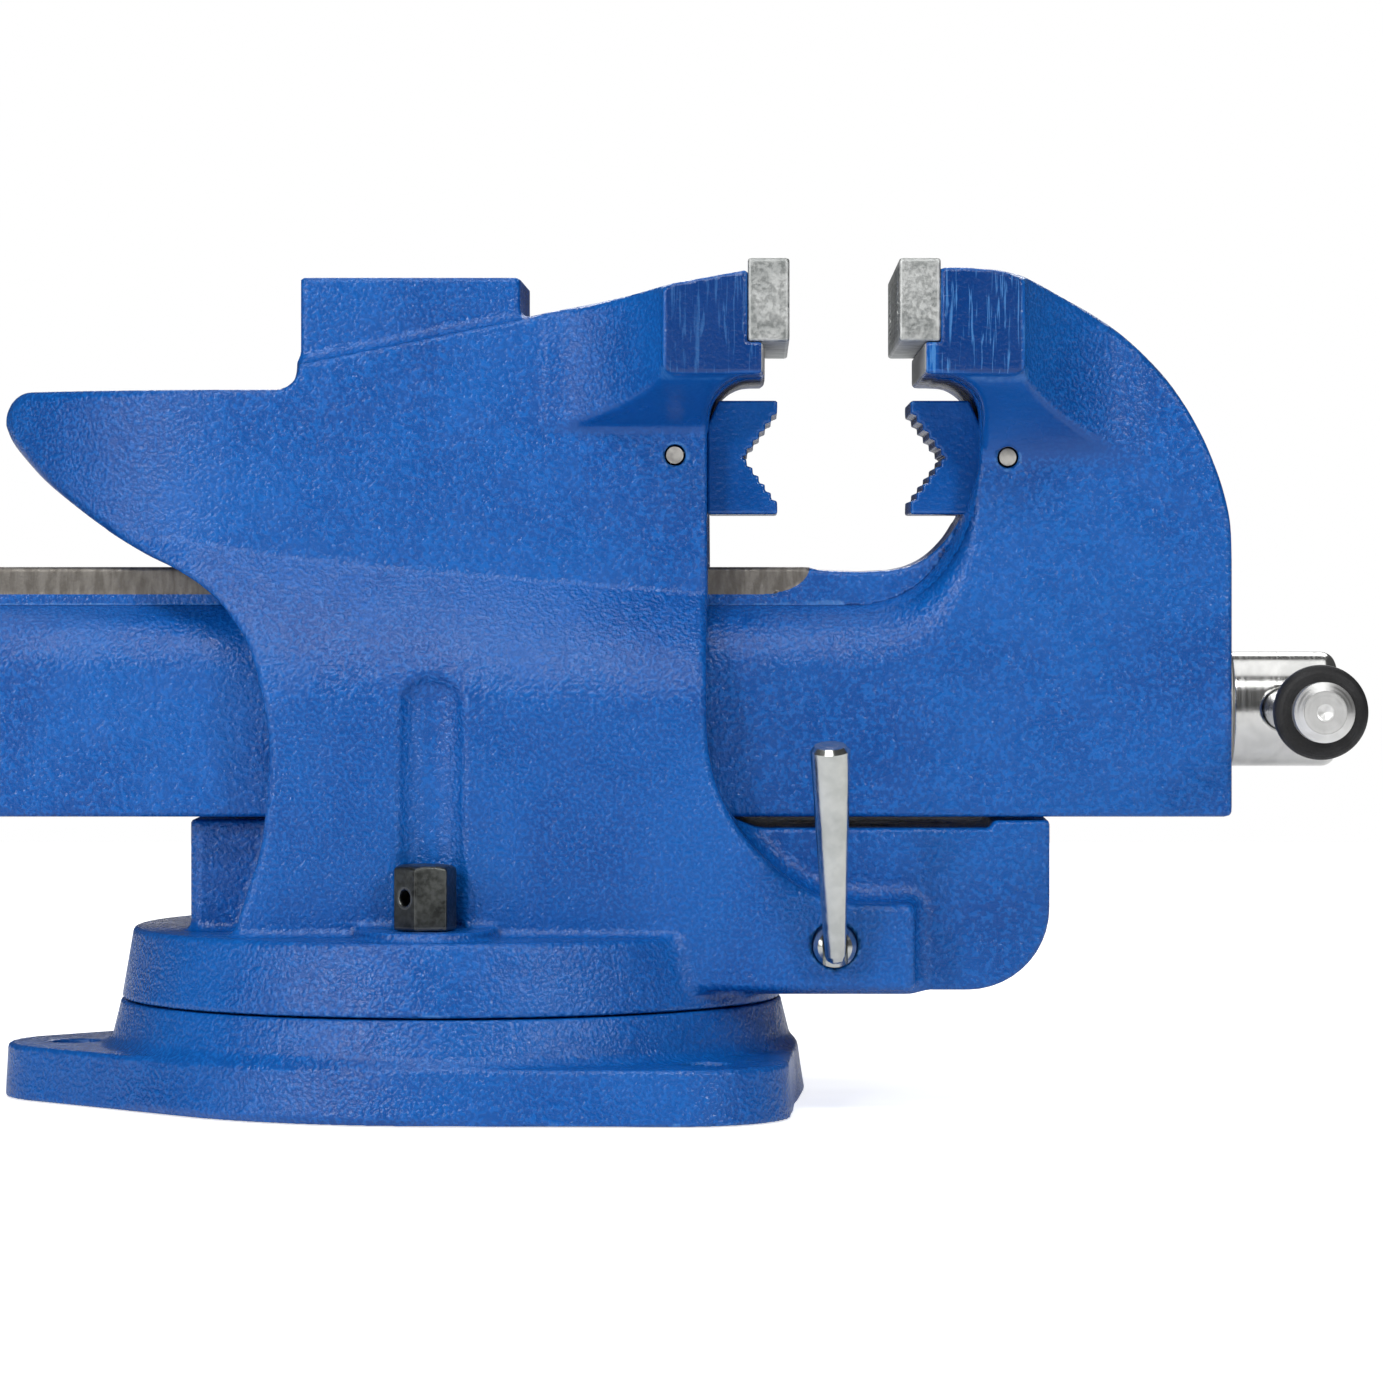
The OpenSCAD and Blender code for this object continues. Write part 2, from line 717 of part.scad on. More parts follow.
base();
fixed_jaw();
sliding_jaw();
insert(fixed_seat_x, 1);  // fixed_insert
insert(sliding_seat_x, -1);  // sliding_insert
insert_screws(fixed_seat_x, 1);  // fixed_insert_screws
insert_screws(sliding_seat_x, -1);  // sliding_insert_screws
pipe_jaw(fixed_throat_x, 1, 190.3, fixed_pin);  // fixed_pipe_jaw
pipe_jaw(sliding_throat_x, -1, 190.3, sliding_pin);  // sliding_pipe_jaw
pipe_jaw_pin(fixed_pin);  // fixed_pipe_jaw_pin
pipe_jaw_pin(sliding_pin);  // sliding_pipe_jaw_pin
main_screw();
screw_nut();
nut_bolts();
thrust_washer();
takeup_spring();
retaining_collar();
collar_pin();
handle_bar();
handle_knob(-1);  // handle_knob_front
handle_knob(1);  // handle_knob_back
handle_ring(-1);  // handle_ring_front
handle_ring(1);  // handle_ring_back
clamp_screw();
lock_lever();
clamp_nut();
lock_bolt(-1);  // lock_bolt_front
lock_bolt(1);  // lock_bolt_back
t_nut(-1);  // t_nut_front
t_nut(1);  // t_nut_back
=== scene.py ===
"""The looks of a bench vise with a swivel base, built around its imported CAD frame.

The castings, inserts, pipe jaws, main screw and lock bolts are signed-distance shapes, so that their corners
and fillets are round, as real ones are. They are worked out in millimetres and meshed in metres. The other
pieces are the CAD model's own, with procedural materials.
"""
import json
import math

import bpy
import numpy as np
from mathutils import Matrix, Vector


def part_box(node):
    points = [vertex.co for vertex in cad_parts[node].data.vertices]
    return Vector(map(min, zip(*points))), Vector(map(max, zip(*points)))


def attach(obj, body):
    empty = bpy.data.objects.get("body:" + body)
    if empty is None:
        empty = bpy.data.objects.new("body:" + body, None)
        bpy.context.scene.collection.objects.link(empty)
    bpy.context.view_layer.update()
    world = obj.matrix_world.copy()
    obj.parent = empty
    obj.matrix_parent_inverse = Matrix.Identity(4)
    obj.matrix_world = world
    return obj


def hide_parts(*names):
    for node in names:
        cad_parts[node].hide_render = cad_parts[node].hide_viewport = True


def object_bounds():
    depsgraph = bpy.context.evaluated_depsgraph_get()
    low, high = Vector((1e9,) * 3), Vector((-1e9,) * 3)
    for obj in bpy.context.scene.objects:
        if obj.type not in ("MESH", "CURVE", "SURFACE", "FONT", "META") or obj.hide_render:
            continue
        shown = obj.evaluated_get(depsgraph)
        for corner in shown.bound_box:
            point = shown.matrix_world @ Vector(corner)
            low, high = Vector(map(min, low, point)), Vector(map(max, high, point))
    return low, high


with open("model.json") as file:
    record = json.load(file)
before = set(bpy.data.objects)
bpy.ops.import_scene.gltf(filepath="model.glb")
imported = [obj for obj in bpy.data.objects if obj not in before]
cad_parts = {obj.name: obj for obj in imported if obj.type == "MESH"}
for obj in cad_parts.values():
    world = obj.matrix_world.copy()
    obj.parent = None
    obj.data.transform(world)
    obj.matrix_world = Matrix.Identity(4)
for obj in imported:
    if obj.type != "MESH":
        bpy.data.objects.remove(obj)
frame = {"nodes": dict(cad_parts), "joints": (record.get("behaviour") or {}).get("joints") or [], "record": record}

CAD_BOUNDS = [list(corner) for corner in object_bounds()]
MM = 0.001


# ---------------------------------------------------------------- sizes, from the frame

def box_mm(node):
    """A CAD node's lowest and highest corners in millimetres."""
    low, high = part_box(node)
    return np.array(low) / MM, np.array(high) / MM


def middle_mm(node):
    """The middle of a CAD node's box in millimetres."""
    low, high = box_mm(node)
    return (low + high) / 2


JOINTS = {j["name"]: j for j in frame["joints"]}
MOUNTS = {m["name"]: m for m in frame["record"]["mounts"]}
BODY_LOW, BODY_HIGH = box_mm("fixed_jaw")
JAW_LOW, JAW_HIGH = box_mm("sliding_jaw")
FIXED_INSERT = box_mm("fixed_insert")
SLIDING_INSERT = box_mm("sliding_insert")

SEAM_Z = BODY_LOW[2]
FOOT_R = BODY_HIGH[1]
ANVIL_TOP = BODY_HIGH[2]
KEEL_X = BODY_HIGH[0]
JAW_HALF = JAW_HIGH[1]
BEAM_BACK = JAW_LOW[0]
BEAM_BOTTOM = JAW_LOW[2]
FRONT_X = JAW_HIGH[0]
FIXED_SEAT_X = FIXED_INSERT[0][0]
SLIDING_SEAT_X = SLIDING_INSERT[1][0]
INSERT_Z = FIXED_INSERT[0][2]
SCREW_Z = JOINTS["screw_spin"]["pos_m"][2] / MM
BOLT_X, BOLT_Y = middle_mm("lock_bolt_back")[:2]
BOLT_TOP = box_mm("lock_bolt_back")[1][2]
CLAMP_X, CLAMP_Z = (JOINTS["lever_turn"]["pos_m"][i] / MM for i in (0, 2))
FIXED_PIN = middle_mm("fixed_pipe_jaw_pin")
SLIDING_PIN = middle_mm("sliding_pipe_jaw_pin")
FIXED_PIPE = box_mm("fixed_pipe_jaw")
SLIDING_PIPE = box_mm("sliding_pipe_jaw")
PIN_R = (box_mm("fixed_pipe_jaw_pin")[1][2] - box_mm("fixed_pipe_jaw_pin")[0][2]) / 2

# Sizes of the castings that the frame's boxes don't give
SEAM_GAP = 0.5
FOOT_TOP = 51
FOOT_TOP_R = 94.8
BOSS_R = 20
BOLT_HEAD_T = 18.7
BOSS_TOP = BOLT_TOP - BOLT_HEAD_T
HOUSING_HALF = 65.5
UPPER_HALF = 45
BEAM_HALF = 45
RIB_HALF = 30
RIB_TOP = 158
WAY_Z = BEAM_BOTTOM - 0.2
PAD_BOTTOM = 213.7
HORN_TOP = 209.6
ANVIL_X = (-42.5, 22)
ANVIL_HALF = 38
THROAT_R = 13
FIXED_THROAT_X = 76.9
SLIDING_THROAT_X = 157.3


# ---------------------------------------------------------------- signed-distance kit

def join(a, b, r=0.0):
    """Union of two shapes with a fillet of radius r between them."""
    return np.maximum(r, np.minimum(a, b)) - np.hypot(np.maximum(r - a, 0), np.maximum(r - b, 0))


def common(a, b, r=0.0):
    """What two shapes share, with an edge of radius r."""
    return np.minimum(-r, np.maximum(a, b)) + np.hypot(np.maximum(r + a, 0), np.maximum(r + b, 0))


def cut(a, b, r=0.0):
    """Shape a without shape b, with an edge of radius r."""
    return common(a, -b, r)


def slab(v, low, high):
    """The space between two parallel planes."""
    return np.maximum(low - v, v - high)


def smoothstep(v, low, high):
    """0 below low, 1 above high, with a smooth rise between."""
    t = np.clip((v - low) / (high - low), 0, 1)
    return t * t * (3 - 2 * t)


def sloped(value, slope):
    """Turns a height above a sloping surface into roughly the distance from it."""
    return value / np.sqrt(1 + slope * slope)


def spline(points, steps=6):
    """A smooth curve through given points, as closely spaced sharp corners."""
    p = np.array([points[0], *points, points[-1]], float)
    out = []
    for a, b, c, d in zip(p, p[1:], p[2:], p[3:]):
        for t in np.arange(steps) / steps:
            bend = (2 * a - 5 * b + 4 * c - d) * t ** 2
            q = 2 * b + (c - a) * t + bend + (3 * b - a - 3 * c + d) * t ** 3
            out.append((q[0] / 2, q[1] / 2, 0))
    return [*out, (*points[-1], 0)]


def rounded(corners):
    """The outline of (u, v, radius) corners, with each one turned into an arc."""
    out = []
    for i, (u, v, r) in enumerate(corners):
        p = np.array((u, v), float)
        if r == 0:
            out.append(p)
            continue
        before = np.array(corners[i - 1][:2], float) - p
        after = np.array(corners[(i + 1) % len(corners)][:2], float) - p
        before /= np.linalg.norm(before)
        after /= np.linalg.norm(after)
        half = math.acos(float(np.clip(before @ after, -1, 1))) / 2
        centre = p + (before + after) / np.linalg.norm(before + after) * r / math.sin(half)
        start = p + before * r / math.tan(half) - centre
        end = p + after * r / math.tan(half) - centre
        a0 = math.atan2(start[1], start[0])
        turn = (math.atan2(end[1], end[0]) - a0 + math.pi) % (2 * math.pi) - math.pi
        for a in a0 + turn * np.linspace(0, 1, max(3, int(abs(turn) * 8))):
            out.append(centre + r * np.array((math.cos(a), math.sin(a))))
    return np.array(out)


class Outline:
    """Signed distance to a flat outline, read from a fine table of it."""

    def __init__(self, corners, step=0.6, margin=14):
        points = rounded(corners)
        self.low = points.min(0) - margin
        self.step = step
        self.count = np.ceil((points.max(0) + margin - self.low) / step).astype(int) + 1
        u = (self.low[0] + step * np.arange(self.count[0]))[:, None]
        v = (self.low[1] + step * np.arange(self.count[1]))[None, :]
        nearest = np.full(self.count, 1e9)
        inside = np.zeros(self.count, bool)
        for a, b in zip(points, np.roll(points, -1, 0)):
            edge = b - a
            if edge @ edge < 1e-12:
                continue
            wu, wv = u - a[0], v - a[1]
            t = np.clip((wu * edge[0] + wv * edge[1]) / (edge @ edge), 0, 1)
            nearest = np.minimum(nearest, (wu - edge[0] * t) ** 2 + (wv - edge[1] * t) ** 2)
            if edge[1]:
                inside ^= ((a[1] > v) != (b[1] > v)) & (u < edge[0] * wv / edge[1] + a[0])
        self.table = (np.sqrt(nearest) * np.where(inside, -1, 1)).astype(np.float32)

    def __call__(self, u, v):
        p = [np.clip((w - self.low[i]) / self.step, 1, self.count[i] - 2.001) for i, w in enumerate((u, v))]
        i, j = (q.astype(np.int32) for q in p)
        fu, fv = (q - np.floor(q) for q in p)
        flat = self.table.ravel()
        n = self.count[1]
        k = i * n + j
        near = flat[k] * (1 - fv) + flat[k + 1] * fv
        far = flat[k + n] * (1 - fv) + flat[k + n + 1] * fv
        beyond = [np.maximum(np.abs((w - self.low[i]) / self.step - q) - 1e-6, 0)
                  for i, (w, q) in enumerate(zip((u, v), p))]
        return near * (1 - fu) + far * fu + self.step * np.hypot(*beyond)


def sampled(shape, low, high, voxel, slack=1.6, block=8):
    """A grid of the shape's values, exact near its surface. Returns the grid and its origin."""
    origin = np.array(low, float) - 2.5 * voxel
    blocks = np.ceil((np.array(high) + 2.5 * voxel - origin) / (voxel * block)).astype(int)
    reach = block * voxel
    centres = [origin[i] + reach * (np.arange(blocks[i]) + 0.5) - voxel / 2 for i in range(3)]
    coarse = shape(*(c.astype(np.float32) for c in np.meshgrid(*centres, indexing="ij")))
    grid = np.repeat(np.repeat(np.repeat(coarse.astype(np.float32), block, 0), block, 1), block, 2)
    near = np.argwhere(np.abs(coarse) < reach * 0.87 * slack)
    inner = np.arange(block)
    offset = np.stack(np.meshgrid(inner, inner, inner, indexing="ij"), -1).reshape(-1, 3)
    chunk = 1500
    for start in range(0, len(near), chunk):
        index = (near[start:start + chunk, None, :] * block + offset[None]).reshape(-1, 3)
        x, y, z = (np.float32(origin[i]) + np.float32(voxel) * index[:, i].astype(np.float32)
                   for i in range(3))
        grid[index[:, 0], index[:, 1], index[:, 2]] = shape(x, y, z)
    return grid, origin


def crossed_edges(inside, axis):
    """The grid points from which one step along an axis crosses the surface."""
    a = [slice(None)] * 3
    b = [slice(None)] * 3
    a[axis] = slice(0, -1)
    b[axis] = slice(1, None)
    return np.argwhere(inside[tuple(a)] != inside[tuple(b)])


def surface_net(grid, origin, voxel):
    """Quads around the surface: one point in each mixed cell, one quad for each crossed edge."""
    inside = grid < 0
    shape = np.array(grid.shape)
    stride = np.array((shape[1] * shape[2], shape[2], 1))
    flat = grid.ravel()
    cells, places, quads = [], [], []
    for axis in range(3):
        edge = crossed_edges(inside, axis)
        first = edge @ stride
        va, vb = flat[first], flat[first + stride[axis]]
        place = edge.astype(float)
        place[:, axis] += va / (va - vb)
        i, j = (axis + 1) % 3, (axis + 2) % 3
        ring = [first - stride[i] - stride[j], first - stride[j], first, first - stride[i]]
        for cell in ring:
            cells.append(cell)
            places.append(place)
        quad = np.stack(ring, 1)
        quads.append(np.where((va < 0)[:, None], quad, quad[:, ::-1]))
    cells = np.concatenate(cells)
    places = np.concatenate(places)
    names, which = np.unique(cells, return_inverse=True)
    count = np.bincount(which)
    points = np.stack([np.bincount(which, places[:, k]) / count for k in range(3)], 1)
    faces = np.searchsorted(names, np.concatenate(quads))
    return origin + voxel * points, faces


SETTLE_ROUNDS = 2


def gradient(shape, p, h=0.02):
    """The shape's slope at points p, by central differences."""
    g = np.empty_like(p)
    for k in range(3):
        step = np.zeros(3)
        step[k] = h
        g[:, k] = (shape(*(p + step).T) - shape(*(p - step).T)) / (2 * h)
    return g


def settle(shape, p, limit):
    """Moves points onto the surface. Returns them and the surface's normals there."""
    for _ in range(SETTLE_ROUNDS):
        g = gradient(shape, p)
        move = -(shape(*p.T) / np.maximum((g * g).sum(1), 0.05))[:, None] * g
        length = np.linalg.norm(move, axis=1, keepdims=True)
        p = p + move * np.minimum(1, limit / np.maximum(length, 1e-9))
    g = gradient(shape, p, 0.15)
    return p, g / np.maximum(np.linalg.norm(g, axis=1, keepdims=True), 1e-9)


def mesh_object(name, points, faces):
    """A new object from points in millimetres and faces."""
    mesh = bpy.data.meshes.new(name)
    mesh.from_pydata((np.asarray(points, float) * MM).tolist(), [], [list(map(int, f)) for f in faces])
    mesh.validate()
    mesh.update()
    piece = bpy.data.objects.new(name, mesh)
    bpy.context.scene.collection.objects.link(piece)
    return piece


def set_attribute(mesh, name, values):
    """Stores one number for each vertex, which materials read by name."""
    layer = mesh.attributes.get(name) or mesh.attributes.new(name, "FLOAT", "POINT")
    layer.data.foreach_set("value", np.asarray(values, np.float32))


def apply_modifiers(piece):
    """Bakes a piece's modifiers into its mesh."""
    depsgraph = bpy.context.evaluated_depsgraph_get()
    mesh = bpy.data.meshes.new_from_object(piece.evaluated_get(depsgraph), depsgraph=depsgraph)
    piece.modifiers.clear()
    old = piece.data
    piece.data = mesh
    bpy.data.meshes.remove(old)


MOST_FACES = 190_000
EDGE_REACH = 1.2
CAVITY_REACH = 3


def thinned(piece):
    """Brings a piece of quads down to at most MOST_FACES triangles."""
    triangles = 2 * len(piece.data.polygons)
    if triangles > MOST_FACES:
        thin = piece.modifiers.new("thin", "DECIMATE")
        thin.ratio = MOST_FACES / triangles
        apply_modifiers(piece)


def solid(name, shape, low, high, voxel):
    """Meshes a signed-distance shape, thins it and gives it the shape's own normals, edges and cavities; the
    cavities darken the paint as painted shade.
    """
    voxel = voxel
    grid, origin = sampled(shape, low, high, voxel)
    points, faces = surface_net(grid, origin, voxel)
    points, _ = settle(shape, points, voxel * 0.5)
    piece = mesh_object(name, points, faces)
    thinned(piece)
    mesh = piece.data
    place = np.empty(len(mesh.vertices) * 3)
    mesh.vertices.foreach_get("co", place)
    points, normals = settle(shape, place.reshape(-1, 3) / MM, voxel * 0.3)
    points = np.clip(points, np.array(CAD_BOUNDS[0]) / MM, np.array(CAD_BOUNDS[1]) / MM)
    mesh.vertices.foreach_set("co", (points * MM).ravel())
    mesh.shade_smooth()
    mesh.normals_split_custom_set_from_vertices(normals.tolist())
    set_attribute(mesh, "edge", 1 + shape(*(points - EDGE_REACH * normals).T) / EDGE_REACH)
    # How deep a point lies in a hollow, which the paint turns darker as painted shade
    set_attribute(mesh, "cavity_shade", 1 - shape(*(points + CAVITY_REACH * normals).T) / CAVITY_REACH)
    mesh.update()
    return piece


# ---------------------------------------------------------------- base casting

PLATE_T = 16
PLATE_R = 104
LUG_D = 101
LUG_R = 32.6
LUG_ANGLES = [math.atan2(MOUNTS[n]["pos_m"][1], MOUNTS[n]["pos_m"][0])
              for n in ("bench_bolt_back", "bench_bolt_left", "bench_bolt_right")]
BENCH_HOLE_D = abs(MOUNTS["bench_bolt_back"]["pos_m"][0]) / MM
BENCH_HOLE_R = MOUNTS["bench_bolt_back"]["dims"]["r_mm"]
CENTRE_HOLE_R = MOUNTS["centre_hole"]["dims"]["r_mm"]
SPIGOT_R = 44.8
SPIGOT_TOP = 48
PLATE_DRAFT = 0.05
DRUM_R = (101.8, 98.4)
SLOT_R = math.hypot(BOLT_X, BOLT_Y)
SLOT_HALF = 6.2
SLOT_NECK_Z = 18
T_SPACE_HALF = 11.9
T_SPACE_Z = (7.8, 20.3)
UNDER_RING_R = 38.5


def cone(radius, z, r0, z0, r1, z1):
    """Distance outside a cone that has radius r0 at z0 and r1 at z1."""
    return ((radius - r0) * (z1 - z0) - (z - z0) * (r1 - r0)) / math.hypot(z1 - z0, r1 - r0)


def lug_plan(x, y, angle):
    """Plan of one lug: the plate's round part, tapering to the lug's round end."""
    along = x * math.cos(angle) + y * math.sin(angle)
    aside = np.abs(y * math.cos(angle) - x * math.sin(angle))
    b = (PLATE_R - LUG_R) / LUG_D
    a = math.sqrt(1 - b * b)
    k = a * along - b * aside
    side = a * aside + b * along - PLATE_R
    return np.where(k < 0, np.hypot(aside, along) - PLATE_R,
                    np.where(k > a * LUG_D, np.hypot(aside, along - LUG_D) - LUG_R, side))


def slot_space(radius, z):
    """The ring slot for the lock bolts, wider below for their T-nuts."""
    from_slot = np.abs(radius - SLOT_R)
    return np.minimum(np.maximum(from_slot - SLOT_HALF, slab(z, SLOT_NECK_Z, 60)),
                      np.maximum(from_slot - T_SPACE_HALF, slab(z, *T_SPACE_Z)))


def base_shape(x, y, z):
    """The bench plate with its lugs, the drum on it, the swivel spigot, the slot and the holes."""
    radius = np.hypot(x, y)
    plan = np.minimum.reduce([lug_plan(x, y, a) for a in LUG_ANGLES])
    plate = common(common((plan + PLATE_DRAFT * z) / 1.001, z - PLATE_T, 1.4), -z, 0.6)
    drum = common(cone(radius, z, DRUM_R[0], PLATE_T, DRUM_R[1], SEAM_Z), slab(z, 2, SEAM_Z - SEAM_GAP), 0.6)
    shape = join(plate, drum, 3.5)
    shape = join(shape, common(radius - SPIGOT_R, slab(z, 20, SPIGOT_TOP), 1.5))
    shape = cut(shape, slot_space(radius, z), 0.5)
    shape = cut(shape, common(np.abs(radius - UNDER_RING_R) - 15, z - 10, 4), 1)
    shape = cut(shape, radius - CENTRE_HOLE_R, 1)
    for angle in LUG_ANGLES:
        hole = np.hypot(x - BENCH_HOLE_D * math.cos(angle), y - BENCH_HOLE_D * math.sin(angle))
        shape = cut(shape, hole - BENCH_HOLE_R, 0.7)
    return shape


# ---------------------------------------------------------------- body casting

# Side outlines, as (x, z) points and (x, z, corner radius) corners
HORN_UNDER = [(-51.5, 119.6), (-55.2, 133.2), (-60.2, 141.9), (-67.8, 150.5), (-78, 157.3), (-88, 162.2),
              (-100, 169.2), (-110.3, 176.4), (-119.4, 183.5), (-126.6, 190.7), (-130.6, 195.6)]
CREASE = np.array(spline([(-100, 166.2), (-80, 166), (-71, 165.2), (-47, 161.4), (-20.7, 158.4), (4.7, 156.2),
                          (40, 153.3), (75, 150.3), (100, 148)], 8))[:, :2]
SHOULDER_Z = 116
HORN_START = -60
HORN_LENGTH = 72
HORN_NARROWS = 33
HORN_POWER = 2.2
REAR_KEEL_X = (-75.3, -40)
REAR_KEEL_HALF = 35
NUT_SEAT_X = (18, 76)
NUT_SEAT_Z = (70, 99.5)
NUT_SEAT_HALF = 27
CLAMP_BORE_R = 5.3
CLAMP_SINK_R = 6.7
FINGER_R = 11.6
FINGER_TOP = 119
SLIT_HALF = 1.5
BOLT_HOLE_R = 5.2
POCKET_HALF = 20.3
FIXED_POCKET = ((58, 85), (181.7, 199.9))

HOUSING = Outline([
    (-64, 44, 0), *spline([(-60, 52), (-56, 64), (-51.9, 78), (-50, 96), (-49.8, 108), *HORN_UNDER[:7]]),
    (-60, 190, 0), (FIXED_THROAT_X, 190, 0),
    *spline([(FIXED_THROAT_X, 120), (77.4, 106), (80.5, 93), (87.5, 80.5), (98, 69.8), (109, 63),
             (121, 60.6)]),
    (137.2, 60.4, 2), (137.2, 35.4, 2), (60, 35.4, 0), (60, 44, 0)])

UPPER = Outline([
    (-62, 144, 0), *spline([*HORN_UNDER[3:], (-132.6, 200)]), (-132.9, HORN_TOP + 0.4, 8.5),
    (ANVIL_X[0], HORN_TOP + 0.4, 7), (ANVIL_X[0], 217.5, 0), (ANVIL_X[1], 230.4, 10), (44.6, 234.7, 30),
    (64.5, 239.3, 0), (FIXED_SEAT_X, 243, 0), (FIXED_SEAT_X, INSERT_Z - 0.1, 0),
    (93.2, INSERT_Z - 0.1, 0.8), (93.2, PAD_BOTTOM, 1.2),
    (FIXED_THROAT_X, PAD_BOTTOM, THROAT_R), (FIXED_THROAT_X, 144, 0)])

FIXED_PAD = Outline([
    (64.5, 239.2, 3.6), (FIXED_SEAT_X, 243.7, 0.8), (FIXED_SEAT_X, INSERT_Z - 0.1, 0.3),
    (93.2, INSERT_Z - 0.1, 0.8), (93.2, PAD_BOTTOM, 1.2), (64.5, PAD_BOTTOM, 3.6)])

FRONT_KEEL = Outline([
    (50, 40, 0), (66, 34.4, 0), (KEEL_X, 34.3, 24), (KEEL_X, 84.2, 1.2), (161, 84.2, 1.5), (159.5, 81.7, 1.5),
    (86, 81.7, 1.5), (80, 84.2, 1.5), (50, 84.6, 0)])


def horn_half(x):
    """Half the width of the upper body, which narrows towards the tip of the horn, and its slope."""
    taper = np.clip((HORN_START - x) / HORN_LENGTH, 0, 1)
    slope = HORN_NARROWS * HORN_POWER / HORN_LENGTH * taper ** (HORN_POWER - 1)
    return UPPER_HALF - HORN_NARROWS * taper ** HORN_POWER, slope


def jaw_wing(x, ay, z, profile, back, fade, low, power):
    """The flare that sweeps out from a casting's side to the back of its jaw pad, over a coved underside.

    It is at its widest at x = back and gone at x = fade. Its underside starts at z = low.
    """
    span = abs(back - fade)
    ahead = (x - fade) * math.copysign(1, back - fade)
    t = np.clip(ahead / span, 0, 1)
    bulge = JAW_HALF - 1.2 - UPPER_HALF
    # Half of it is a quarter ellipse and half a gentler curve, each from 0 at fade to 1 at back
    sweep = 0.5 * (1 - np.sqrt(1 - 0.98 * t * t)) / 0.859 + 0.5 * t ** 1.5
    half = UPPER_HALF + bulge * sweep - 0.6 * np.maximum(-ahead, 0)
    slope = bulge / span * (0.57 * t / np.sqrt(1 - 0.98 * t * t) + 0.75 * t ** 0.5)
    out = np.clip((ay - UPPER_HALF) / (JAW_HALF - UPPER_HALF), 0.01, 1)
    under = low + (PAD_BOTTOM - low) * out ** power
    steep = (PAD_BOTTOM - low) / (JAW_HALF - UPPER_HALF) * power * out ** (power - 1)
    wing = common(sloped(ay - half, slope), sloped(under - z, np.minimum(steep, 2)), 1.5)
    return common(wing, profile, 1.6)


def tunnel_space(y, z):
    """What the beam needs inside the body."""
    ay = np.abs(y)
    shoulder = np.hypot(np.maximum(ay - 24, 0), np.maximum(z - 127, 0)) - 21.6
    trunk = np.maximum(shoulder, np.maximum(ay - BEAM_HALF - 0.6, z - 148.6))
    rib = common(ay - RIB_HALF - 1, slab(z, 130, RIB_TOP + 0.9), 1.2)
    return np.maximum(np.minimum(trunk, rib), WAY_Z - 0.3 - z)


def foot_shape(z, radius, from_bolt):
    """The foot disc, and the bosses under the lock bolts, flush with its rim."""
    rim = cone(radius, z, FOOT_R, SEAM_Z, FOOT_TOP_R, FOOT_TOP)
    foot = common(common(rim, z - FOOT_TOP, 1.3), SEAM_Z - z, 0.9)
    boss = common(common(from_bolt - BOSS_R, z - BOSS_TOP, 0.9), rim, 1)
    return join(foot, np.maximum(boss, 40 - z), 2)


def upper_shape(x, ay, z):
    """Horn, anvil, ridge and fixed jaw."""
    half, slope = horn_half(x)
    edge = 1.3 + 1.5 * smoothstep(-x, 50, 110)
    profile = UPPER(x, z)
    upper = common(profile, sloped(ay - half, slope), edge)
    anvil = common(common(slab(x, *ANVIL_X), ay - ANVIL_HALF, 1.8), slab(z, 205, ANVIL_TOP), 0.9)
    upper = join(upper, anvil, 4)
    upper = join(upper, jaw_wing(x, ay, z, profile, 64.5, 30, 198.5, 0.85), 2)
    return join(upper, common(FIXED_PAD(x, z), ay - JAW_HALF, 0.9), 0.8)


def housing_shape(x, ay, z):
    """The housing around the beam, whose side bulges out below a crease, with the clamp lugs in its plane."""
    crease = np.interp(x, CREASE[:, 0], CREASE[:, 1])
    half, slope = horn_half(x)
    drop = crease - SHOULDER_Z
    fall = (crease - z) / drop
    bulge = HOUSING_HALF - UPPER_HALF
    turn = np.clip(fall, 0, 1) * math.pi / 2
    width = half + bulge * np.where(fall > 0, np.sin(turn), fall * math.pi / 2)
    lean = bulge * math.pi / 2 / drop * np.cos(turn)
    return common(HOUSING(x, z), sloped(ay - width, np.hypot(lean, slope)), 2.4)


def cut_passages(shape, x, y, ay, z, radius, from_bolt):
    """Cuts the socket, slit, clamp bore, finger channels and bolt holes out of the body."""
    shape = cut(shape, common(radius - SPIGOT_R - 0.4, z - SPIGOT_TOP - 0.6, 0.5), 0.8)
    shape = cut(shape, np.maximum(np.maximum(ay - SLIT_HALF, z - 70), 40 - x), 0.4)
    clamp = np.hypot(x - CLAMP_X, z - CLAMP_Z)
    shape = cut(shape, clamp - CLAMP_BORE_R, 0.4)
    shape = cut(shape, np.maximum(clamp - CLAMP_SINK_R, y + HOUSING_HALF - 2.5), 0.4)
    from_channel = np.hypot(x - BOLT_X - 1.4, ay - BOLT_Y)
    finger = np.where(z > FINGER_TOP, np.hypot(from_channel, z - FINGER_TOP), from_channel) - FINGER_R
    shape = cut(shape, np.maximum(finger, BOSS_TOP - z), 1.2)
    return cut(shape, from_bolt - BOLT_HOLE_R, 0.5)


def cut_jaw_holes(shape, x, ay, z, pocket, pin):
    """Cuts the pipe jaw's pocket and its pin's hole."""
    across = common(ay - POCKET_HALF, slab(z, *pocket[1]), 1)
    shape = cut(shape, common(slab(x, *pocket[0]), across, 0.3), 0.5)
    return cut(shape, np.hypot(x - pin[0], z - pin[2]) - PIN_R - 0.6, 0.3)


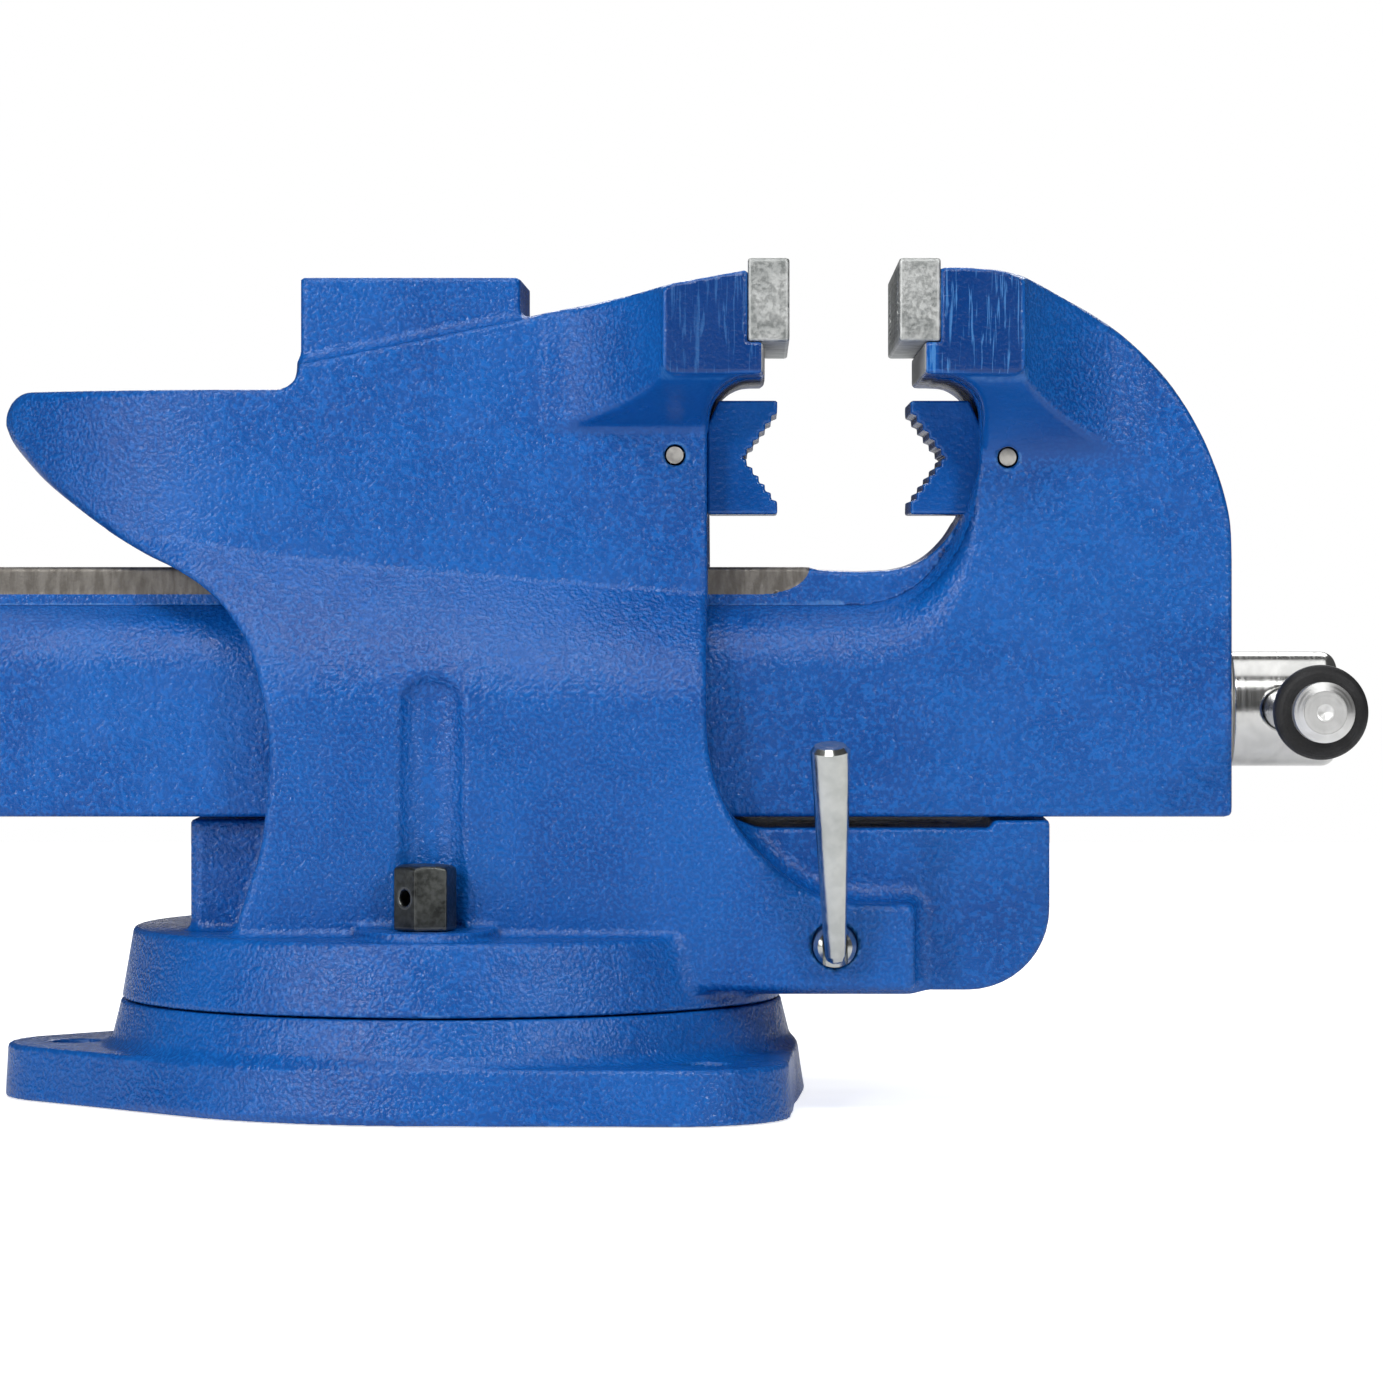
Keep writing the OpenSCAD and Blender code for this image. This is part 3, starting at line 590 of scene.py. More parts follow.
def body_shape(x, y, z):
    """The whole body casting, with the seat of the screw nut inside the beam's tunnel."""
    ay = np.abs(y)
    radius = np.hypot(x, y)
    from_bolt = np.hypot(x - BOLT_X, ay - BOLT_Y)
    shape = join(foot_shape(z, radius, from_bolt), housing_shape(x, ay, z), 3)
    shape = join(shape, upper_shape(x, ay, z), 0.8)
    shape = join(shape, common(FRONT_KEEL(x, z), ay - BEAM_HALF, 1.6), 6)
    rear_keel = common(common(slab(x, *REAR_KEEL_X), ay - REAR_KEEL_HALF, 4), slab(z, 46, 84), 1.5)
    shape = join(shape, rear_keel, 3)
    shape = cut(shape, tunnel_space(y, z), 1.4)
    nut_seat = common(common(slab(x, *NUT_SEAT_X), ay - NUT_SEAT_HALF, 1.5), slab(z, *NUT_SEAT_Z), 1)
    shape = join(shape, nut_seat, 2)
    shape = cut_passages(shape, x, y, ay, z, radius, from_bolt)
    return cut_jaw_holes(shape, x, ay, z, FIXED_POCKET, FIXED_PIN)


# ---------------------------------------------------------------- sliding jaw casting

THROAT = [(131, 157.1), (136.5, 158.4), (142.1, 161.3), (147.1, 166), (150.4, 170.7), (152.6, 175),
          (155, 182), (156.7, 188.5), (SLIDING_THROAT_X, 196)]
JAW_BACK = [(156, 243.9), (160.6, 243.9), (169.6, 241.5), (184.1, 234.5), (195.3, 227.5), (203.7, 220.4),
            (210.7, 213.4), (216.1, 206.4), (220.3, 199.3), (223.7, 192.3), (227.6, 181.8),
            (FRONT_X - 0.5, 171.2), (FRONT_X, 160)]
RUN_OUT_X = 107
WALL_X = 205
HOLLOW_HALF = 31
HOLLOW_TOP = 141
SCREW_HOLE_R = 14.2
SLIDING_POCKET = ((150, 175.5), (181.1, 199.3))

JAW_SIDE = Outline([
    (BEAM_BACK, BEAM_BOTTOM, 2), (BEAM_BACK, RIB_TOP, 1), (RUN_OUT_X - 3, RIB_TOP, 0),
    (RUN_OUT_X, RIB_TOP, 1), (RUN_OUT_X + 2.4, 157.2, 2), (122, 156.7, 0), *spline(THROAT),
    (SLIDING_THROAT_X, PAD_BOTTOM, 12),
    (SLIDING_SEAT_X, PAD_BOTTOM, 0), (SLIDING_SEAT_X, 244.2, 1), *spline(JAW_BACK),
    (FRONT_X, BEAM_BOTTOM, 1.8)])

# Where the beam's flat side ends, and where its rounded shoulder ends
SIDE_FLAT = Outline([
    (-240, 40, 0), (-240, 126.4, 0), (105, 126.4, 0),
    *spline([(122, 126.8), (131, 128), (139.5, 131.5), (146.2, 138), (151.2, 147), (154.4, 156), (156, 166),
             (156.8, 176), (157.2, 186), (157.4, 196)]),
    (154, 204, 0), (130, 208, 0), (130, 260, 0), (260, 260, 0), (260, 40, 0)], margin=40)
SIDE_ROUND = Outline([
    (-250, 30, 0), (-250, 147, 0), (115, 147, 0),
    *spline([(124, 147.2), (133, 149.8), (140, 154.2), (145, 160), (149.2, 167), (152.4, 175), (154.7, 183),
             (156.2, 191), (156.6, 197)]),
    (152, 206, 0), (120, 209, 0), (120, 270, 0), (270, 270, 0), (270, 30, 0)], margin=40)

SLIDING_PAD = Outline([
    (SLIDING_SEAT_X, 244.3, 0.8), (152.5, 244.3, 10), (162.9, 243, 8), (168.6, 240.1, 1.5),
    (168.6, PAD_BOTTOM, 3.6), (139.8, PAD_BOTTOM, 1.2), (139.8, INSERT_Z - 0.1, 0.8),
    (SLIDING_SEAT_X, INSERT_Z - 0.1, 0.3)])


def machined(x, z):
    """Depth inside the machined stretch of the rib, whose end is the curve that a cutter leaves."""
    run_out = RUN_OUT_X - 15 + 15 * np.sqrt(np.clip(1 - ((RIB_TOP - z) / 8.2) ** 2, 0, 1))
    return np.minimum(z - RIB_TOP + 8, run_out - x)


def flank(x, z):
    """Half the width of the sliding jaw and its beam, and the slope there."""
    bare = smoothstep(machined(x, z), -0.15, 0.15)
    rib = RIB_HALF + 0.3 + 12.5 * smoothstep(z, 158, 190) * smoothstep(x, 120, 150) - 0.6 * bare
    depth = np.maximum(SIDE_FLAT(x, z), 0)
    band = np.maximum(depth + np.maximum(-SIDE_ROUND(x, z), 0), 1e-3)
    t = np.clip(depth / band, 0, 1)
    # An elliptic shoulder, cut short at t = 1, where the arc has come down to 0.305
    arc = np.sqrt(1 - 0.907 * t * t)
    half = rib + (BEAM_HALF - rib) * (arc - 0.305) / 0.695
    return half, (BEAM_HALF - rib) * 1.305 * t / arc / np.maximum(band, 3) * (t < 1)


def jaw_shape(x, y, z):
    """The whole sliding jaw casting, with its beam hollowed out for the nut and screw."""
    ay = np.abs(y)
    profile = JAW_SIDE(x, z)
    half, slope = flank(x, z)
    shape = common(profile, sloped(ay - half, slope), 1.6)
    shape = join(shape, jaw_wing(x, ay, z, profile, 168.6, 203, 189.5, 0.75), 2)
    shape = join(shape, common(SLIDING_PAD(x, z), ay - JAW_HALF, 0.9), 0.8)
    shape = cut(shape, common(common(ay - HOLLOW_HALF, z - HOLLOW_TOP, 5), x - WALL_X, 3), 1)
    screw_hole = np.maximum(np.hypot(y, z - SCREW_Z) - SCREW_HOLE_R, slab(x, 190, 240))
    shape = cut(shape, screw_hole, 0.5)
    return cut_jaw_holes(shape, x, ay, z, SLIDING_POCKET, SLIDING_PIN)


# ---------------------------------------------------------------- small pieces

HANDLE_AXIS = JOINTS["handle_slide"]["axis"]
BAR_X = middle_mm("handle_knob_front")[0]
BAR_R = 6
SCREW_BACK = box_mm("main_screw")[0][0]
HEAD_BACK = box_mm("thrust_washer")[1][0]
HEAD_END = box_mm("main_screw")[1][0]
HEAD_R = 17.1
JOURNAL_R = 14
THREAD_R = 13
THREAD_DEPTH = 2.3
THREAD_END = 182
PITCH = 5
GROOVE_STEP = 3
GROOVE_DEPTH = 0.5
INSERT_HOLE_R = 4.2
INSERT_SINK_R = 6.7
PIPE_MID = middle_mm("fixed_pipe_jaw")[2]
PIPE_HALF = FIXED_PIPE[1][1]
PIPE_TIP = 20.6
PIPE_VALLEY = 9.8
TEETH = 6
BOLT_FLATS_HALF = 8
BOLT_CHAMFER_R = 7.4
BOLT_SHANK_R = 4.9
BOLT_SHANK_LOW = 11
BOLT_TURN = math.radians(15)
CROSS_HOLE_R = 2.3
CROSS_HOLE_UP = 9.3


def from_handle(x, y, z):
    """Distance from the handle's axis."""
    up = (z - SCREW_Z) * HANDLE_AXIS[1] - y * HANDLE_AXIS[2]
    return np.hypot(x - BAR_X, up)


def screw_shape(x, y, z):
    """The main screw: a bevelled head with the handle's hole, a journal and a trapezoidal thread."""
    radius = np.hypot(y, z - SCREW_Z)
    bevel = (radius - HEAD_R + x - HEAD_END + 2.6) / math.sqrt(2)
    head = common(common(common(radius - HEAD_R, x - HEAD_END, 0.4), bevel, 1.2), HEAD_BACK - x, 0.8)
    journal = np.maximum(radius - JOURNAL_R, slab(x, THREAD_END, HEAD_BACK + 1))
    phase = x / PITCH - np.arctan2(z - SCREW_Z, y) / (2 * math.pi)
    depth = np.clip((np.abs(phase - np.round(phase)) - 0.12) / 0.2, 0, 1)
    thread = common((radius - THREAD_R + THREAD_DEPTH * depth) / 2, slab(x, SCREW_BACK, THREAD_END + 1), 0.8)
    shape = np.minimum(head, np.minimum(journal, thread))
    return cut(shape, from_handle(x, y, z) - BAR_R - 0.12, 1.1)


def insert_shape(back, face):
    """A jaw insert: bevelled, with diamond serrations on its grip face and two counterbored holes."""
    grip = 1 if face > back else -1
    middle = (back + face) / 2
    half = abs(face - back) / 2
    low, high = INSERT_Z, FIXED_INSERT[1][2]

    def shape(x, y, z):
        out = (x - middle) * grip
        grooves = [np.abs(v / GROOVE_STEP % 1 - 0.5) for v in (y + z, y - z)]
        groove = np.minimum(*grooves)
        field = np.maximum(np.abs(y) - JAW_HALF + 2.2, slab(z, low + 2.2, high - 2.2))
        sunk = GROOVE_DEPTH * np.clip(1 - groove / 0.3, 0, 1) * smoothstep(-field, 0, 0.8)
        block = common(common(np.abs(y) - JAW_HALF, slab(z, low, high), 1.1), np.abs(out) - half + sunk, 0.9)
        hole = np.hypot(np.abs(y) - JAW_HALF * 2 / 3, z - (low + high) / 2)
        block = cut(block, hole - INSERT_HOLE_R, 0.2)
        return cut(block, np.maximum(hole - INSERT_SINK_R, half - 7 - out), 0.5)
    return shape


def pipe_jaw_outline(half):
    """Side outline of a pipe jaw from its seat, with teeth down both flanks of the V."""
    stairs = []
    for i in range(TEETH):
        u = PIPE_TIP - (PIPE_TIP - PIPE_VALLEY) * i / TEETH
        stairs.append((u, (half - 2) * (1 - i / TEETH), 0.25))
        stairs.append((u - 0.1, (half - 2) * (1 - (i + 0.75) / TEETH), 0.25))
    upper = [(PIPE_TIP, half, 0.6), *stairs, (PIPE_VALLEY, 0, 0.3)]
    lower = [(u, -v, r) for u, v, r in reversed(upper[:-1])]
    return [*upper, *lower, (0, -half, 0.6), (0, half - 7.4, 0.6), (3.4, half, 0.6)]


def pipe_jaw_shape(back, side, pin):
    """A pipe jaw that stands out from x = back, with a tenon that its pin crosses."""
    outline = pipe_jaw_outline(PIPE_MID - SLIDING_PIPE[0][2])
    teeth = Outline([(back + side * u, PIPE_MID + v, r) for u, v, r in outline], step=0.25)

    def shape(x, y, z):
        ay = np.abs(y)
        block = common(teeth(x, z), ay - PIPE_HALF, 0.8)
        tenon = common(slab((x - pin[0]) * side, -6, 12), ay - 20, 0.5)
        tenon = common(tenon, np.abs(z - pin[2]) - 8.5, 0.5)
        return cut(np.minimum(block, tenon), np.hypot(x - pin[0], z - pin[2]) - PIN_R - 0.1, 0.2)
    return shape


def bolt_shape(side):
    """A lock bolt: a hexagon head with a turned chamfer and a cross hole, on a plain shank."""
    turn = -side * BOLT_TURN

    def shape(x, y, z):
        u = (x - BOLT_X) * math.cos(turn) + (y - side * BOLT_Y) * math.sin(turn)
        v = (y - side * BOLT_Y) * math.cos(turn) - (x - BOLT_X) * math.sin(turn)
        radius = np.hypot(u, v)
        flats = [np.abs(v * math.cos(a) - u * math.sin(a)) - BOLT_FLATS_HALF
                 for a in np.radians((0, 60, 120))]
        hexagon = common(common(flats[0], flats[1], 0.3), flats[2], 0.3)
        cap = (radius - BOLT_CHAMFER_R) * 0.5 + (z - BOLT_TOP) * 0.866
        head = common(common(hexagon, slab(z, BOSS_TOP, BOLT_TOP), 0.4), cap, 0.5)
        aside = v * math.cos(math.pi / 6) - u * math.sin(math.pi / 6)
        head = cut(head, np.hypot(aside, z - BOSS_TOP - CROSS_HOLE_UP) - CROSS_HOLE_R, 0.3)
        return np.minimum(head, common(radius - BOLT_SHANK_R, slab(z, BOLT_SHANK_LOW, BOSS_TOP + 1), 0.6))
    return shape


# ---------------------------------------------------------------- materials

class Look:
    """A Principled material, built node by node. Uniform values go straight on the shader's sockets."""

    def __init__(self, name, **uniform):
        self.material = bpy.data.materials.new(name)
        self.material.use_nodes = True
        self.nodes = self.material.node_tree.nodes
        self.shader = self.nodes["Principled BSDF"]
        self.place = self.nodes.new("ShaderNodeTexCoord").outputs["Object"]
        for socket, value in uniform.items():
            self.shader.inputs[socket.replace("_", " ")].default_value = value

    def put(self, value, socket):
        """Links an output to a socket, or sets the socket to a plain value."""
        if isinstance(value, bpy.types.NodeSocket):
            self.material.node_tree.links.new(value, socket)
        else:
            socket.default_value = value

    def math(self, operation, *values):
        """A Math node's result."""
        node = self.nodes.new("ShaderNodeMath")
        node.operation = operation
        for value, socket in zip(values, node.inputs):
            self.put(value, socket)
        return node.outputs[0]

    def stretched(self, scale):
        """The place on the object, scaled by a different amount along each axis."""
        node = self.nodes.new("ShaderNodeVectorMath")
        node.operation = "MULTIPLY"
        self.put(self.place, node.inputs[0])
        node.inputs[1].default_value = scale
        return node.outputs[0]

    def noise(self, scale, detail=2, distortion=0, place=None):
        """A noise of a given scale per metre."""
        node = self.nodes.new("ShaderNodeTexNoise")
        node.inputs["Scale"].default_value = scale
        node.inputs["Detail"].default_value = detail
        node.inputs["Distortion"].default_value = distortion
        self.put(place or self.place, node.inputs["Vector"])
        return node.outputs["Fac"]

    def ramp(self, value, low, high, start=0, end=1):
        """Start below low, end above high, with a smooth rise between."""
        node = self.nodes.new("ShaderNodeMapRange")
        node.interpolation_type = "SMOOTHSTEP"
        for v, socket in zip((value, low, high, start, end), node.inputs):
            self.put(v, socket)
        return node.outputs[0]

    def mix(self, factor, a, b):
        """A colour between two colours."""
        node = self.nodes.new("ShaderNodeMix")
        node.data_type = "RGBA"
        self.put(factor, node.inputs[0])
        for value, socket in ((a, node.inputs[6]), (b, node.inputs[7])):
            self.put((*value, 1) if isinstance(value, tuple) else value, socket)
        return node.outputs[2]

    def blend(self, factor, a, b):
        """A number between two numbers."""
        node = self.nodes.new("ShaderNodeMix")
        for value, socket in zip((factor, a, b), (node.inputs[0], node.inputs[2], node.inputs[3])):
            self.put(value, socket)
        return node.outputs[0]

    def attribute(self, name):
        """A number stored on the mesh."""
        node = self.nodes.new("ShaderNodeAttribute")
        node.attribute_name = name
        return node.outputs["Fac"]

    def bump(self, height, distance, strength=1.0, under=None):
        """Relief from a height, on top of another relief."""
        node = self.nodes.new("ShaderNodeBump")
        node.inputs["Distance"].default_value = distance
        self.put(height, node.inputs["Height"])
        self.put(strength, node.inputs["Strength"])
        if under:
            self.put(under, node.inputs["Normal"])
        return node.outputs["Normal"]

    def finish(self, color, rough, normal=None, metal=None):
        """Links what varies over the surface and returns the material."""
        self.put(color, self.shader.inputs["Base Color"])
        self.put(rough, self.shader.inputs["Roughness"])
        if normal:
            self.put(normal, self.shader.inputs["Normal"])
        if metal is not None:
            self.put(metal, self.shader.inputs["Metallic"])
        return self.material


PAINT = (0.0013, 0.062, 0.285)
# Paler blue, for the mottled tone and for the painted highlight on the pebbles' crests
PAINT_PALE_AND_HIGHLIGHT = (0.0060, 0.135, 0.50)
# Dark blue that the paint turns to in corners and recesses: painted shade
PAINT_CAVITY_SHADE = (0.0018, 0.028, 0.15)
# Light blue for worn paint and scratches, and for the painted highlight on edges
PAINT_WORN_AND_HIGHLIGHT = (0.07, 0.24, 0.56)
IRON_DARK = (0.14, 0.128, 0.113)
IRON_LIGHT = (0.22, 0.205, 0.185)
IRON_SANDED = (0.40, 0.395, 0.38)
# Noise scales are in cells per metre, bump heights in metres
PEBBLE_SCALE = 900
GRIT_SCALE = 2300
LUMP_SCALE = 95
SCRATCH_SCALE = (1100, 300, 70)
PAINT_BUMP = 0.00058
SCRATCH_BUMP = 0.00004
RING_SCALE = 1800
RING_BUMP = 0.000006


def paint_color(look, pebbles):
    """Blue with a mottled tone, a painted highlight on the pebbles' crests, painted shade in corners, and lighter
    edges that are partly worn paint and partly a painted highlight.
    """
    tone = look.ramp(look.noise(22, 4, 0.5), 0.3, 0.7)
    color = look.mix(look.math("MULTIPLY", tone, 0.4), PAINT, PAINT_PALE_AND_HIGHLIGHT)
    # Painted highlight: the pebbles' crests turn paler, as if they caught the light
    crest_highlight = look.math("MULTIPLY", look.ramp(pebbles, 0.44, 0.66), look.attribute("grain"))
    color = look.mix(look.math("MULTIPLY", crest_highlight, 0.6), color, PAINT_PALE_AND_HIGHLIGHT)
    # Painted shade: darker blue in corners and recesses
    color = look.mix(look.ramp(look.attribute("cavity_shade"), 0.08, 0.5, 0, 0.85), color, PAINT_CAVITY_SHADE)
    # Convex edges turn light blue: partly worn, thin paint and partly a painted highlight
    worn_and_highlit = look.math("MULTIPLY", look.ramp(look.attribute("edge"), 0.16, 0.40),
                     look.ramp(look.noise(160, 4, 0.8), 0.38, 0.62, 0.08, 0.5))
    return look.mix(worn_and_highlit, color, PAINT_WORN_AND_HIGHLIGHT)


def iron_color(look, sand):
    """Machined iron with drawn-out tool marks, and a paler tone where sand is 1."""
    marks = look.noise(1, 4, 0.3, look.stretched((500, 300, 120)))
    iron = look.mix(look.ramp(marks, 0.35, 0.65), IRON_DARK, IRON_LIGHT)
    return look.mix(sand, iron, IRON_SANDED)


def paint_look(name):
    """Thick blue paint over sand-cast iron, with bare machined iron where the shape asks for it."""
    look = Look(name, Specular_IOR_Level=0.4)
    bare = look.ramp(look.attribute("bare"), -0.12, 0.12)
    sand = look.attribute("sand")
    pebbles = look.noise(PEBBLE_SCALE, 0.8)
    fine = look.math("MULTIPLY", look.noise(GRIT_SCALE, 1), 0.22)
    lumps = look.math("MULTIPLY", look.noise(LUMP_SCALE, 2, 0.3), 0.9)
    height = look.math("ADD", look.math("MULTIPLY", pebbles, 0.7), look.math("ADD", fine, lumps))
    scratch = look.noise(1, 3, 0.6, look.stretched(SCRATCH_SCALE))
    rubbed = look.math("MULTIPLY", look.attribute("scratch"), look.ramp(scratch, 0.55, 0.67))
    color = look.mix(look.math("MULTIPLY", rubbed, 0.7), paint_color(look, pebbles), PAINT_WORN_AND_HIGHLIGHT)
    color = look.mix(bare, color, iron_color(look, sand))
    rough = look.ramp(look.noise(70, 4), 0.3, 0.7, 0.19, 0.29)
    rough = look.blend(bare, rough, look.ramp(look.noise(800, 3), 0.3, 0.7, 0.42, 0.62))
    normal = look.bump(height, PAINT_BUMP, look.blend(bare, look.attribute("grain"), 0.2))
    normal = look.bump(scratch, SCRATCH_BUMP, look.math("MULTIPLY", look.attribute("scratch"), 0.8), normal)
    return look.finish(color, rough, normal, look.math("MULTIPLY", bare, look.blend(sand, 0.75, 0.1)))


def metal_look(name, dark, light, rough, scale, depth, lines=None):
    """Worn metal: blotches of tone, fine grain or tool lines, and brighter rubbed edges."""
    look = Look(name, Metallic=1.0)
    tone = look.ramp(look.noise(scale / 7, 4, 0.6), 0.3, 0.7)
    speck = look.ramp(look.noise(scale, 3, 0.2), 0.35, 0.65)
    shade = look.math("ADD", look.math("MULTIPLY", tone, 0.6), look.math("MULTIPLY", speck, 0.4))
    color = look.mix(shade, dark, light)
    rubbed = look.ramp(look.attribute("edge"), 0.08, 0.28, 0, 0.7)
    color = look.mix(rubbed, color, tuple(min(1, c * 1.25 + 0.05) for c in light))
    grain = look.noise(1, 2, 0, look.stretched(lines)) if lines else look.noise(scale * 2, 2)
    matt = look.math("ADD", look.math("MULTIPLY", grain, 0.5), look.math("MULTIPLY", speck, 0.5))
    return look.finish(color, look.ramp(matt, 0.3, 0.7, *rough), look.bump(grain, depth))


def turned_look(name, dark, light, rough, centre, axis):
    """Lathe-turned bright steel, with fine rings about its axis, which passes through centre."""
    look = Look(name, Metallic=1.0)
    parts = look.nodes.new("ShaderNodeSeparateXYZ")
    look.put(look.place, parts.inputs[0])
    x, y, z = parts.outputs
    u, v, along = {"x": (y, z, x), "y": (x, z, y)}[axis]
    squares = [look.math("POWER", look.math("SUBTRACT", w, c), 2) for w, c in zip((u, v), centre)]
    radius = look.math("POWER", look.math("ADD", *squares), 0.5)
    line = look.nodes.new("ShaderNodeCombineXYZ")
    look.put(radius, line.inputs[0])
    look.put(along, line.inputs[1])
    rings = look.noise(RING_SCALE, 2, 0, line.outputs[0])
    tone = look.ramp(look.noise(120, 4, 0.5), 0.3, 0.7)
    shade = look.math("ADD", look.math("MULTIPLY", rings, 0.35), look.math("MULTIPLY", tone, 0.65))
    color = look.mix(shade, dark, light)
    return look.finish(color, look.ramp(rings, 0.3, 0.7, *rough), look.bump(rings, RING_BUMP))


def rubber_look(name):
    """Black rubber with a film of dust."""
    look = Look(name, Specular_IOR_Level=0.35)
    speck = look.noise(2200, 3, 0.2)
    dust = look.ramp(look.noise(180, 4, 0.5), 0.4, 0.75)
    color = look.mix(look.math("MULTIPLY", dust, 0.35), (0.008, 0.008, 0.009), (0.035, 0.035, 0.037))
    return look.finish(color, look.ramp(speck, 0.3, 0.7, 0.5, 0.68), look.bump(speck, 0.00005))


AXIS_Z = SCREW_Z * MM
KNOB_RISE = 0.0026
SCREW_AXIS = (0, AXIS_Z)
HANDLE_LINE = (BAR_X * MM, AXIS_Z + KNOB_RISE)
LOOKS = {
    "blue_casting": paint_look("cast_paint"),
    "insert_steel": metal_look("insert_steel", (0.26, 0.275, 0.27), (0.60, 0.61, 0.60), (0.48, 0.66),
                               900, 0.00004),
    "plain_steel": metal_look("plain_steel", (0.34, 0.33, 0.31), (0.62, 0.60, 0.56), (0.45, 0.62),
                              500, 0.00004),
    "black_steel": metal_look("black_steel", (0.025, 0.027, 0.026), (0.10, 0.105, 0.10), (0.30, 0.46),
                              600, 0.00006),
    "nut_iron": metal_look("nut_iron", (0.10, 0.10, 0.10), (0.24, 0.235, 0.23), (0.50, 0.70),
                           380, 0.00025),
    "lever_zinc": metal_look("lever_zinc", (0.46, 0.475, 0.45), (0.66, 0.67, 0.64), (0.16, 0.24),
                             260, 0.00003, lines=(900, 900, 60)),
    "screw_chrome": turned_look("screw_chrome", (0.52, 0.52, 0.51), (0.70, 0.70, 0.685), (0.14, 0.24),
                                SCREW_AXIS, "x"),
    "bar_chrome": turned_look("bar_chrome", (0.56, 0.56, 0.55), (0.74, 0.74, 0.73), (0.18, 0.30),
                              HANDLE_LINE, "y"),
    "knob_steel": turned_look("knob_steel", (0.60, 0.60, 0.59), (0.86, 0.86, 0.85), (0.36, 0.48),
                              HANDLE_LINE, "y"),
    "rubber": rubber_look("rubber"),
}


# ---------------------------------------------------------------- pieces

PIPE_JAW_GRAIN = 0.3


def dress(piece, body, slot, look, *nodes):
    """Gives a piece its material and its body, and hides the CAD nodes that it stands for. The slot is not used.
    """
    piece.data.materials.clear()
    piece.data.materials.append(LOOKS[look])
    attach(piece, body)
    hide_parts(*nodes)


def finish_casting(piece, bare=None):
    """Stores where a casting is bare, coarse-grained or scratched, and where its bare iron is pale."""
    mesh = piece.data
    p = np.empty(len(mesh.vertices) * 3)
    mesh.vertices.foreach_get("co", p)
    x, y, z = p.reshape(-1, 3).T / MM
    n = np.empty(len(mesh.vertices) * 3)
    mesh.vertices.foreach_get("normal", n)
    down = -n.reshape(-1, 3)[:, 2]
    flat_pad = smoothstep(np.abs(y), JAW_HALF - 1.2, JAW_HALF - 0.3) * (z > PAD_BOTTOM)
    smooth = smoothstep(down, 0.15, 0.5) * (z > 178)
    set_attribute(mesh, "grain", 1 - 0.8 * np.maximum(smooth, 0.6 * flat_pad))
    set_attribute(mesh, "scratch", flat_pad * np.where(x > 120, 1, 0.4))
    set_attribute(mesh, "sand", z > 200)
    set_attribute(mesh, "bare", np.full(len(x), -5) if bare is None else bare(x, y, z))


def jaw_bare(x, y, z):
    """Signed distance inside the rib's machined faces and the ledge under the insert."""
    rib = np.minimum(machined(x, z), RIB_HALF + 2 - np.abs(y))
    ledge = np.minimum(140.2 - x, z - PAD_BOTTOM - 0.6)
    return np.maximum(rib, ledge)


def body_bare(x, _y, z):
    """Signed distance inside the ledge's machined face."""
    return np.minimum(x - 92.8, z - PAD_BOTTOM - 0.6)


def make_castings():
    """The three castings, each meshed over a box that encloses it."""
    base = solid("base_casting", base_shape, (-134, -107, 0), (105, 107, 49), 1.2)
    finish_casting(base)
    dress(base, "base", "blue_casting", "blue_casting", "base")
    body = solid("body_casting", body_shape, (-134, -100, 29), (178, 100, 245), 1.25)
    finish_casting(body, body_bare)
    dress(body, "vise_body", "blue_casting", "blue_casting", "fixed_jaw")
    jaw = solid("sliding_jaw_casting", jaw_shape, (-208, -76, 84), (232, 76, 246), 1.25)
    finish_casting(jaw, jaw_bare)
    dress(jaw, "sliding_jaw", "blue_casting", "blue_casting", "sliding_jaw")


def small(name, shape, node, voxel, body, slot, look):
    """A piece that stands for one CAD node and is meshed over that node's box."""
    low, high = box_mm(node)
    piece = solid(name, shape, low - 0.5, high + 0.5, voxel)
    if look == "blue_casting":
        finish_casting(piece)
        set_attribute(piece.data, "grain", np.full(len(piece.data.vertices), PIPE_JAW_GRAIN))
    dress(piece, body, slot, look, node)


def make_small_pieces():
    """Inserts, pipe jaws, main screw and lock bolts."""
    small("fixed_insert_plate", insert_shape(FIXED_SEAT_X, FIXED_INSERT[1][0]), "fixed_insert", 0.55,
          "vise_body", "insert_steel", "insert_steel")
    small("sliding_insert_plate", insert_shape(SLIDING_SEAT_X, SLIDING_INSERT[0][0]), "sliding_insert",
          0.55, "sliding_jaw", "insert_steel", "insert_steel")
    small("fixed_pipe_grip", pipe_jaw_shape(FIXED_THROAT_X, 1, FIXED_PIN), "fixed_pipe_jaw", 0.6,
          "vise_body", "blue_pipe_jaw", "blue_casting")
    small("sliding_pipe_grip", pipe_jaw_shape(SLIDING_THROAT_X, -1, SLIDING_PIN), "sliding_pipe_jaw", 0.6,
          "sliding_jaw", "blue_pipe_jaw", "blue_casting")
    small("screw_turned", screw_shape, "main_screw", 0.7, "screw", "bright_steel", "screw_chrome")
    for side, place in ((-1, "front"), (1, "back")):
        small(f"bolt_{place}_turned", bolt_shape(side), f"lock_bolt_{place}", 0.5, f"bolt_{place}",
              "black_steel", "black_steel")


# The CAD nodes that stay, by the look they get
CARRIED = {
    "black_steel": ("fixed_insert_screws", "sliding_insert_screws", "nut_bolts", "collar_pin", "clamp_nut"),
    "plain_steel": ("fixed_pipe_jaw_pin", "sliding_pipe_jaw_pin", "thrust_washer", "takeup_spring",
                    "retaining_collar", "t_nut_front", "t_nut_back"),
    "nut_iron": ("screw_nut",),
    "lever_zinc": ("clamp_screw", "lock_lever"),
    "bar_chrome": ("handle_bar",),
    "knob_steel": ("handle_knob_front", "handle_knob_back"),
    "rubber": ("handle_ring_front", "handle_ring_back"),
}


